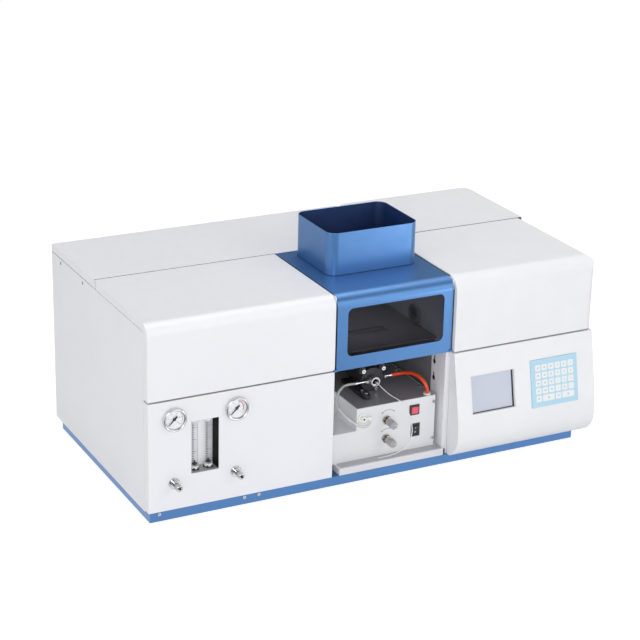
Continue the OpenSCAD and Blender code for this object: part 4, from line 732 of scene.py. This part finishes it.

# Valve knobs: turned grip, ribs, dark grooves and a socket in the end, their darkness painted shade
valveValues = {
    "grip": [
        (0, 12), (4.2, 12), (5, 12.6), (5, 15.2), (5.6, 16), (6.6, 16.6), (7, 17.6), (7, 20), (6.7, 20.4),
        (6.7, 21), (7, 21.4), (7, 27.6), (6.6, 29), (5.6, 29.8), (3.6, 30), (3.2, 29.6), (0, 29.4),
    ],
    "ribs": 28,
    "rib": ((6.9, -0.16, 22), (7.0, 0.16, 27)),
    "grooves": [(5.02, 5.22, 12.8, 14.4), (6.72, 6.92, 20.4, 21.1)],
    "socket": [(0, 29.45), (2.9, 29.65), (2.9, 29.75), (0, 29.55)],
}
for name in ("fuel", "air"):
    x, y, z = pivots[name + "_valve"]
    place = frontFrame(x, panelY, z)
    work = bmesh.new()
    addLathe(work, valveValues["grip"], place, 56)
    piece = finishPiece(work, name + "ValveGrip", name + "_valve", "plating", None, 45)
    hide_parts(name + "_valve_knob")
    work = bmesh.new()
    addRibs(work, valveValues["ribs"], *valveValues["rib"], place)
    finishPiece(work, name + "ValveRibs", name + "_valve", "plating", None)
    work = bmesh.new()
    for band in valveValues["grooves"]:
        addLathe(work, bandProfile(*band), place, 48)
    addLathe(work, valveValues["socket"], place, 6)
    finishPiece(work, name + "ValveGrooves", name + "_valve", "rubber_black", recessDark)

# Gas box: turn marks, and the ribs, nut and pointer of each knob
boxValues = {
    "markAside": 5,
    "markR": 20.9,
    "markHalf": 0.4,
    "markTurn": (128, 52),
    "dotTurns": (131, 49),
    "dotR": 1.3,
    "ink": 0.05,
    "ribs": 24,
    "rib": ((7.9, -0.24, 17), (8.14, 0.24, 34.6)),
    "nut": [(6.03, 4), (9.2, 4), (9.9, 4.7), (9.9, 6.4), (9.2, 7), (6.03, 7), (6.03, 4)],
    "collar": [(6.03, 7.2), (7.2, 7.2), (7.2, 9.4), (6.03, 9.8), (6.03, 7.2)],
    "pointer": {"size": (5.5, 0.8), "corner": 0.35, "middle": (4.25, 0), "z": (35.8, 36.0)},
}
for name in ("height", "trim"):
    x, y, z = pivots[name + "_knob"]
    place = frontFrame(x + boxValues["markAside"], y, z)
    radius, half, thick = boxValues["markR"], boxValues["markHalf"], boxValues["ink"]
    work = bmesh.new()
    addOutline(work, arcOutline(radius - half, radius + half, *boxValues["markTurn"]), 0, thick, place)
    for turn in boxValues["dotTurns"]:
        a = math.radians(turn)
        dot = place @ placeAt(radius * math.cos(a), radius * math.sin(a), 0)
        addLathe(work, discProfile(boxValues["dotR"], 0, thick), dot, 20)
    finishPiece(work, name + "TurnMark", "case", "needle_black", inkBlack)
    place = frontFrame(x, y, z)
    work = bmesh.new()
    addRibs(work, boxValues["ribs"], *boxValues["rib"], place)
    finishPiece(work, name + "KnobRibs", name + "_knob", "grey_plastic", None)
    work = bmesh.new()
    addLathe(work, boxValues["nut"], place, 6)
    addLathe(work, boxValues["collar"], place, 40)
    finishPiece(work, name + "KnobNut", "case", "plating", agedNickel)
    pointer = boxValues["pointer"]
    work = bmesh.new()
    outline = roundedOutline(*pointer["size"], pointer["corner"], pointer["middle"])
    addOutline(work, outline, *pointer["z"], place)
    finishPiece(work, name + "KnobPointer", name + "_knob", "white_plastic", inkWhite)

# Keypad caps and legends
fasciaValues = {"lean": 11.5, "edgeY": -254.1, "edgeZ": 254.5}
padValues = {
    "x": 408,
    "z": 161,
    "stepX": 16.4,
    "stepZ": 16.7,
    "key": 14.4,
    "gap": 0.8,
    "corner": 1.6,
    "film": (2.35, 2.6),
    "ink": 0.05,
    "wordSize": 5.5,
    "bars": [(2.6, 0.5, 1.3), (1.6, -1.5, -0.7)],  # half width, lower and upper edge
    "columns": 6,
    "rows": [[1] * 6, [1] * 6, [1] * 6, [1] * 6, [1, 2, 1, 2]],  # columns that each key spans
    "digitColumn": 3,
    "digits": ["789", "456", "123", "-0."],
}


def fasciaFrame(x, z):
    lean = math.radians(fasciaValues["lean"])
    y = fasciaValues["edgeY"] - (fasciaValues["edgeZ"] - z) * math.tan(lean)
    return placeAt(x, y, z) @ Matrix.Rotation(math.pi / 2 - lean, 4, "X")


place = fasciaFrame(padValues["x"], padValues["z"])
stepX, stepZ, key, gap, thick = (padValues[k] for k in ("stepX", "stepZ", "key", "gap", "ink"))
low, face = padValues["film"]
firstDigit = padValues["digitColumn"]
caps, legends = bmesh.new(), bmesh.new()
for row, spans in enumerate(padValues["rows"]):
    y = (len(padValues["rows"]) / 2 - row - 0.5) * stepZ
    before = 0
    for column, span in enumerate(spans):
        x = (before + span / 2 - padValues["columns"] / 2) * stepX
        width = key + (span - 1) * stepX
        outline = roundedOutline(width - gap, key - gap, padValues["corner"], (x, y))
        addOutline(caps, outline, low, face, place)
        if row < len(padValues["digits"]) and column >= firstDigit:
            digit, spot = padValues["digits"][row][column - firstDigit], placeAt(x, y, face)
            addWords(legends, digit, padValues["wordSize"], place @ spot, thick)
        else:
            for half, lower, upper in padValues["bars"]:
                addBox(legends, (x - half, y + lower, face), (x + half, y + upper, face + thick), place)
        before += span
finishPiece(caps, "keyCaps", "case", "keypad_film", keyFilm)
finishPiece(legends, "keyLegends", "case", "needle_black", inkGrey)

# Display surround, wider at the right and below, and the raised lip round its opening
displayValues = {
    "x": 257,
    "z": 161,
    "size": (105.6, 81.6),
    "corner": 0.6,
    "deep": (-7.96, -7.36),
    "sight": {"size": (101.4, 78.6), "corner": 0.8, "middle": (-1.3, 0.7)},
    "lip": {"grow": 6.4, "corner": 1.2, "gap": 0.5, "z": (-0.1, 0.5)},
}
place = fasciaFrame(displayValues["x"], displayValues["z"])
width, height = displayValues["size"]
corner, sight, lip = (displayValues[k] for k in ("corner", "sight", "lip"))
inner = roundedOutline(*sight["size"], sight["corner"], sight["middle"])
work = bmesh.new()
addRing(work, roundedOutline(width, height, corner), inner, *displayValues["deep"], place)
finishPiece(work, "displaySurround", "case", "black_plastic", None)
outer = roundedOutline(width + lip["grow"], height + lip["grow"], lip["corner"])
inner = roundedOutline(width + lip["gap"], height + lip["gap"], corner)
work = bmesh.new()
addRing(work, outer, inner, *lip["z"], place)
finishPiece(work, "displayLip", "case", "moulded_white", None)


# Dark lining inside the chimney, which paints the shade in the flue, and a dark bead round its foot, partly a
# joint and partly painted contact shade
def chimneyOutline(grow, radius):
    # The chimney's plan, grown or shrunk all round
    along, across = [(low - grow, high + grow) for low, high in zip(chimneyLow, chimneyHigh)][:2]
    return spanOutline(along, across, radius)


chimneyLow, chimneyHigh = boxOf("chimney")
flueValues = {"inset": 2.05, "thick": 0.25, "corner": 19.9, "below": 1.5, "short": 0.8}
corner, thick = flueValues["corner"], flueValues["thick"]
outer = chimneyOutline(-flueValues["inset"], corner)
inner = chimneyOutline(-flueValues["inset"] - thick, corner - thick)
low, high = chimneyLow[2] - flueValues["below"], chimneyHigh[2] - flueValues["short"]
work = bmesh.new()
addRing(work, outer, inner, low, high, Matrix())
finishPiece(work, "chimneyLining", "hood", "blue_paint", flueEnamel)
beadValues = {"grow": (1.3, 0.02), "corner": 22, "below": 0.05, "tall": 0.9}
outer, inner = (chimneyOutline(grow, beadValues["corner"] + grow) for grow in beadValues["grow"])
low, high = chimneyLow[2] - beadValues["below"], chimneyLow[2] + beadValues["tall"]
work = bmesh.new()
addRing(work, outer, inner, low, high, Matrix())
finishPiece(work, "chimneyBead", "hood", "rubber_black", flueEnamel)

# Dark strips on the bulkheads beside the hood, painted shade in the gaps: one run up the front, one along the top
hoodSeamValues = {
    "x": {"left": -104.25, "right": 166.25},
    "half": 1.65,
    "frontThick": 2.4,
    "frontZ": (258, 392),
    "topThick": 1.6,
    "topY": (-222, 18),
}
frontY, topZ = boxOf("inner_frame")[0][1], boxOf("inner_frame")[1][2]
for side, x in hoodSeamValues["x"].items():
    left, right = x - hoodSeamValues["half"], x + hoodSeamValues["half"]
    (lowY, highY), (lowZ, highZ) = hoodSeamValues["topY"], hoodSeamValues["frontZ"]
    work = bmesh.new()
    addBox(work, (left, frontY - hoodSeamValues["frontThick"], lowZ), (right, frontY, highZ), Matrix())
    addBox(work, (left, lowY, topZ), (right, highY, topZ + hoodSeamValues["topThick"]), Matrix())
    finishPiece(work, side + "HoodSeal", "case", "rubber_black", sealFoam)

# White sheet on the bay's left wall, above the low part of the gas box
liningValues = {"y": (-198, -60), "z": (104, 246), "x": (-101.1, -100.7), "corner": 4}
upright = Matrix(((0, 0, 1, 0), (1, 0, 0, 0), (0, 1, 0, 0), (0, 0, 0, 1)))  # outline in y and z
work = bmesh.new()
outline = spanOutline(liningValues["y"], liningValues["z"], liningValues["corner"])
addOutline(work, outline, *liningValues["x"], upright)
finishPiece(work, "bayLeftLining", "case", "light_paint", None)

# Grey sheet on the drip tray, in front of the gas box: painted shade on the tray's top
trayShadeValues = {"x": (-84, 155), "y": (-242, -221.6), "thick": 0.8, "corner": 3}
low = boxOf("drip_tray")[1][2]
work = bmesh.new()
outline = spanOutline(trayShadeValues["x"], trayShadeValues["y"], trayShadeValues["corner"])
addOutline(work, outline, low, low + trayShadeValues["thick"], Matrix())
finishPiece(work, "trayMat", "case", "rubber_black", matGrey)

# Dark strips in the seams of the top and the left side, and at the foot of the right post: painted shade in the
# gaps
seamValues = {
    "lamp": ((-507, 41.35, 412), (-104, 41.73, 416.9)),
    "mono": ((169, 39.35, 412), (506, 41.65, 418.9)),
    "leftFront": ((-509.8, -228, 400.24), (-508.4, 22, 400.92)),
    "leftBack": ((-509.8, 44, 400.24), (-508.4, 282, 400.92)),
    "post": ((158.6, -238, 23.4), (164.8, -190, 32.6)),
}
work = bmesh.new()
for low, high in seamValues.values():
    addBox(work, low, high, Matrix())
finishPiece(work, "seamGaskets", "case", "rubber_black", sealFoam)

# Corner stops of the hood, each with its middle and width
stopValues = {
    "sides": [(-104.6, 9), (164.6, 7)],
    "z": 259.4,
    "tall": 4.6,
    "corner": 0.8,
    "y": -245.9,
    "thick": 2.2,
}
work = bmesh.new()
for x, width in stopValues["sides"]:
    outline = roundedOutline(width, stopValues["tall"], stopValues["corner"], (x, stopValues["z"]))
    addOutline(work, outline, 0, stopValues["thick"], frontFrame(0, stopValues["y"], 0))
finishPiece(work, "hoodCornerStops", "hood", "blue_paint", None)

# Dark fill set back inside the keyholes, painted shade in the holes
keyholeValues = {
    "y": -191.5,
    "heights": (216.5, 179.5),
    "radius": 5.4,
    "slot": 2.4,
    "reach": 12.8,
    "x": (158.75, 162.2),
    "steps": 28,
}
radius, slot, reach, steps = (keyholeValues[k] for k in ("radius", "slot", "reach", "steps"))
start = math.degrees(math.asin(slot / radius))
turns = [math.radians(180 + start + (360 - 2 * start) * i / steps) for i in range(steps + 1)]
outline = [(radius * math.cos(a), radius * math.sin(a)) for a in turns]
outline += [(-reach, slot), (-reach, -slot)]
work = bmesh.new()
for z in keyholeValues["heights"]:
    place = placeAt(0, keyholeValues["y"], z) @ Matrix.Rotation(math.radians(90), 4, "Y")
    addOutline(work, outline, *keyholeValues["x"], place)
finishPiece(work, "keyholeBacks", "case", "black_plastic", recessDark)

# Screw drives: crosses and rims on the case screws, sockets on the burner screws, a ring in the nebulizer's face;
# their grey and black paint the shade in these recesses
driveValues = {
    "front": [
        (-488, -247.3, 18.8),
        (-304, -247.3, 18.8),
        (-272, -247.3, 18.8),
        (143.5, -222.3, 139),
        (143.5, -222.3, 56),
    ],
    "frontTurn": 20,
    "frontProud": 0.04,
    "sideX": ((-510, -1), (510, 1)),  # face and the way it looks
    "sideY": (231.5, 101.5),
    "sideZ": 390,
    "cross": (2, 0.35, -0.1),  # reach, half width and floor
    "rim": (2.1, 3.3, -0.15, 0.0),
    "burner": [(10.5, -156.5, 203.5, 1.5), (57.5, -156.5, 203.5, 1.5), (42, -154.5, 159.72, 1.2)],
    "socketZ": (-0.2, 0.05),
    "stand": [(6, -175.5, 165), (6, -157.5, 165)],
    "standSocket": (2, 0, 0.05),
    "nebulizer": (34, -162.1, 180),
    "nebulizerFace": (1.9, 6.0, -0.1, 0.1),
}


def addCross(work, proud, place):
    reach, half, floor = driveValues["cross"]
    addBox(work, (-reach, -half, floor), (reach, half, proud), place)
    addBox(work, (-half, -reach, floor), (half, reach, proud), place)


sidePlaces = [
    placeAt(x, y, driveValues["sideZ"]) @ Matrix.Rotation(math.radians(90 * way), 4, "Y")
    for y in driveValues["sideY"]
    for x, way in driveValues["sideX"]
]
work = bmesh.new()
for spot in driveValues["front"]:
    place = frontFrame(*spot) @ Matrix.Rotation(math.radians(driveValues["frontTurn"]), 4, "Z")
    addCross(work, driveValues["frontProud"], place)
for place in sidePlaces:
    addCross(work, 0, place)
finishPiece(work, "screwCrosses", "case", "needle_black", inkGrey)
work = bmesh.new()
for place in sidePlaces:
    addLathe(work, bandProfile(*driveValues["rim"]), place, 28)
finishPiece(work, "sideScrewRims", "case", "needle_black", recessDark)
work = bmesh.new()
for x, y, z, radius in driveValues["burner"]:
    addLathe(work, discProfile(radius, *driveValues["socketZ"]), frontFrame(x, y, z), 6)
for spot in driveValues["stand"]:
    addLathe(work, discProfile(*driveValues["standSocket"]), placeAt(*spot), 6)
addLathe(work, bandProfile(*driveValues["nebulizerFace"]), frontFrame(*driveValues["nebulizer"]), 40)
finishPiece(work, "burnerScrewSockets", "burner", "needle_black", recessDark)

# Glands at the feet of the flow tubes
glandValues = {
    "low": 93.4,
    "profile": [(9.06, 0), (10.6, 0), (10.6, 2.4), (9.9, 3), (9.9, 4.6), (9.06, 5), (9.06, 0)],
}
for name in ("fuel", "air"):
    x, y, z = pivots[name + "_float"]
    work = bmesh.new()
    addLathe(work, glandValues["profile"], placeAt(x, y, glandValues["low"]), 6)
    finishPiece(work, name + "TubeGland", "case", "black_plastic", None)

# Port in the white hose fitting: a dark disc that paints the shade in its hole
portValues = {
    "place": (-26.5, -231.5, 132),
    "profile": [(0, 0.02), (1.5, 0.02), (1.9, 0.08), (2.2, 0.06), (2.2, 0), (0, 0)],
}
work = bmesh.new()
addLathe(work, portValues["profile"], frontFrame(*portValues["place"]), 20)
finishPiece(work, "fittingPort", "case", "black_plastic", recessDark)

# Rocker marks: a bar on the upper face, a ring on the lower one
rockerValues = {
    "tilt": 8,
    "slope": 5.65,
    "out": -3.5,
    "up": 5,
    "bar": ((-0.35, -1.9, 0.01), (0.35, 1.9, 0.07)),
    "ring": (1.15, 1.75, 0.01, 0.07),
}
tilted = placeAt(*pivots["rocker"]) @ Matrix.Rotation(math.radians(rockerValues["tilt"]), 4, "X")
upper, lower = (
    tilted
    @ placeAt(0, rockerValues["out"], way * rockerValues["up"])
    @ Matrix.Rotation(math.radians(90 + way * rockerValues["slope"]), 4, "X")
    for way in (1, -1)
)
work = bmesh.new()
addBox(work, *rockerValues["bar"], upper)
addLathe(work, bandProfile(*rockerValues["ring"]), lower, 32)
finishPiece(work, "rockerMarks", nodeBodies["power_rocker"], "white_plastic", inkWhite)
print("stage: details")


# Floor, world and light
def seenRays(tree):
    # 1 for rays that show the surface itself: straight, mirrored or through glass
    rays = addNode(tree, "ShaderNodeLightPath")
    total = rays.outputs["Is Camera Ray"]
    for kind in ("Is Glossy Ray", "Is Transmission Ray"):
        settings = {"operation": "ADD", "use_clamp": True}
        more = {0: total, 1: rays.outputs[kind]}
        total = addNode(tree, "ShaderNodeMath", settings, more).outputs["Value"]
    return total


stageValues = {
    "floorSize": 20,
    "floorColor": "#EFEFF0",
    "floorGlow": 1.5,
    "floorShare": 0.55,  # of the glow, in rays that show the floor
    "worldColor": "#FCFDFF",
    "worldLight": 0.42,
    "backdrop": "#FFFFFF",
}
floorMesh = bpy.data.meshes.new("studioFloor")
work = bmesh.new()
bmesh.ops.create_grid(work, x_segments=2, y_segments=2, size=stageValues["floorSize"])
work.to_mesh(floorMesh)
work.free()
floor = bpy.data.objects.new("studioFloor", floorMesh)
scene.collection.objects.link(floor)
floorMaterial, tree = startMaterial("paleFloor")[:2]
scale = {"operation": "MULTIPLY", 1: stageValues["floorShare"]}
share = addNode(tree, "ShaderNodeMath", scale, {0: seenRays(tree)})
matt = addNode(tree, "ShaderNodeBsdfDiffuse", {"Color": linearColor(stageValues["floorColor"])})
bright = {"Color": linearColor(stageValues["backdrop"]), "Strength": stageValues["floorGlow"]}
glow = addNode(tree, "ShaderNodeEmission", bright)
layers = {0: share.outputs["Value"], 1: matt.outputs["BSDF"], 2: glow.outputs["Emission"]}
mix = addNode(tree, "ShaderNodeMixShader", links=layers)
addNode(tree, "ShaderNodeOutputMaterial", links={"Surface": mix.outputs["Shader"]})
floorMesh.materials.append(floorMaterial)

world = bpy.data.worlds.new("studioWorld")
scene.world = world
world.use_nodes = True
tree = world.node_tree
tree.nodes.clear()
dim = {"Color": linearColor(stageValues["worldColor"]), "Strength": stageValues["worldLight"]}
light = addNode(tree, "ShaderNodeBackground", dim)
bright = {"Color": linearColor(stageValues["backdrop"]), "Strength": 1.0}
white = addNode(tree, "ShaderNodeBackground", bright)
layers = {0: seenRays(tree), 1: light.outputs["Background"], 2: white.outputs["Background"]}
mix = addNode(tree, "ShaderNodeMixShader", links=layers)
addNode(tree, "ShaderNodeOutputWorld", links={"Surface": mix.outputs["Shader"]})


def addLamp(name, place, size, power, aim=(0, 0, 0.2), mirrored=True):
    data = bpy.data.lights.new(name, "AREA")
    data.shape = "RECTANGLE"
    data.size, data.size_y = size
    data.energy = power
    lamp = bpy.data.objects.new(name, data)
    lamp.location = place
    lamp.rotation_euler = (Vector(aim) - Vector(place)).to_track_quat("-Z", "Y").to_euler()
    lamp.visible_camera = lamp.visible_glossy = mirrored
    scene.collection.objects.link(lamp)


def cardFinish(name, code, glow):
    # Studio card: matt black felt, or a lit white panel
    color = linearColor(code)
    material, tree, place = startMaterial(name)
    weave = addNode(tree, "ShaderNodeTexNoise", noiseSize(30), {"Vector": place})
    tones = [(0.3, shade(color, 0.9)), (0.7, shade(color, 1.1))]
    base = addNode(tree, "ShaderNodeValToRGB", links={"Fac": weave.outputs["Fac"]}, stops=tones)
    links = {"Base Color": base.outputs["Color"], "Emission Color": base.outputs["Color"]}
    shader = addNode(tree, "ShaderNodeBsdfPrincipled", {"Roughness": 0.9, "Emission Strength": glow}, links)
    addNode(tree, "ShaderNodeOutputMaterial", links={"Surface": shader.outputs["BSDF"]})
    return material


blackFelt = cardFinish("blackFelt", "#303034", 0.0)
litPanel = cardFinish("litPanel", "#F3F3F3", 7.0)
# Cards seen only in reflections: place, size, turn, finish
cardValues = {
    "backCard": ((0, 3.4, 1.5), (7, 2.4), (90, 0, 0), blackFelt),
    "leftCard": ((-1.9, -2.6, 0.6), (0.7, 1.2), (90, 0, -40), blackFelt),
    "rightCard": ((1.9, -2.4, 0.5), (0.8, 1.0), (90, 0, 40), blackFelt),
    "skyCard": ((0, -2.3, 3.0), (5, 2.2), (40, 0, 0), blackFelt),
    "floorCard": ((-0.55, -1.05, 0.004), (1.3, 1.2), (0, 0, 0), blackFelt),
    "lowPanel": ((0.95, -1.25, 0.2), (0.5, 0.36), (90, 0, 37), litPanel),
}
for name, (spot, size, turn, finish) in cardValues.items():
    mesh = bpy.data.meshes.new(name)
    work = bmesh.new()
    stretch = Matrix.Diagonal((*size, 1, 1))
    bmesh.ops.create_grid(work, x_segments=1, y_segments=1, size=0.5, matrix=stretch)
    work.to_mesh(mesh)
    work.free()
    mesh.materials.append(finish)
    card = bpy.data.objects.new(name, mesh)
    card.location = spot
    card.rotation_euler = [math.radians(a) for a in turn]
    card.visible_camera = card.visible_diffuse = False
    card.visible_shadow = card.visible_transmission = False
    scene.collection.objects.link(card)
# Softboxes, and a faint glow at the bay's left wall
lampValues = {
    "keySoftbox": {"place": (-1.7, -3.3, 1.3), "size": (1.3, 1.3), "power": 42},
    "fillSoftbox": {"place": (1.6, -3.0, 1.8), "size": (2.4, 2.0), "power": 24},
    "sideSoftbox": {"place": (-3.6, -1.2, 1.4), "size": (2.0, 2.0), "power": 20},
    "topSoftbox": {"place": (0.2, 0.4, 3.2), "size": (2.4, 2.0), "power": 40},
    "bayGlow": {
        "place": (-0.1004, -0.14, 0.15),
        "size": (0.12, 0.08),
        "power": 0.03,
        "aim": (0, -0.15, 0.13),
        "mirrored": False,
    },
}
for name, values in lampValues.items():
    addLamp(name, **values)
scene.view_settings.view_transform = "Standard"
print("stage: light")
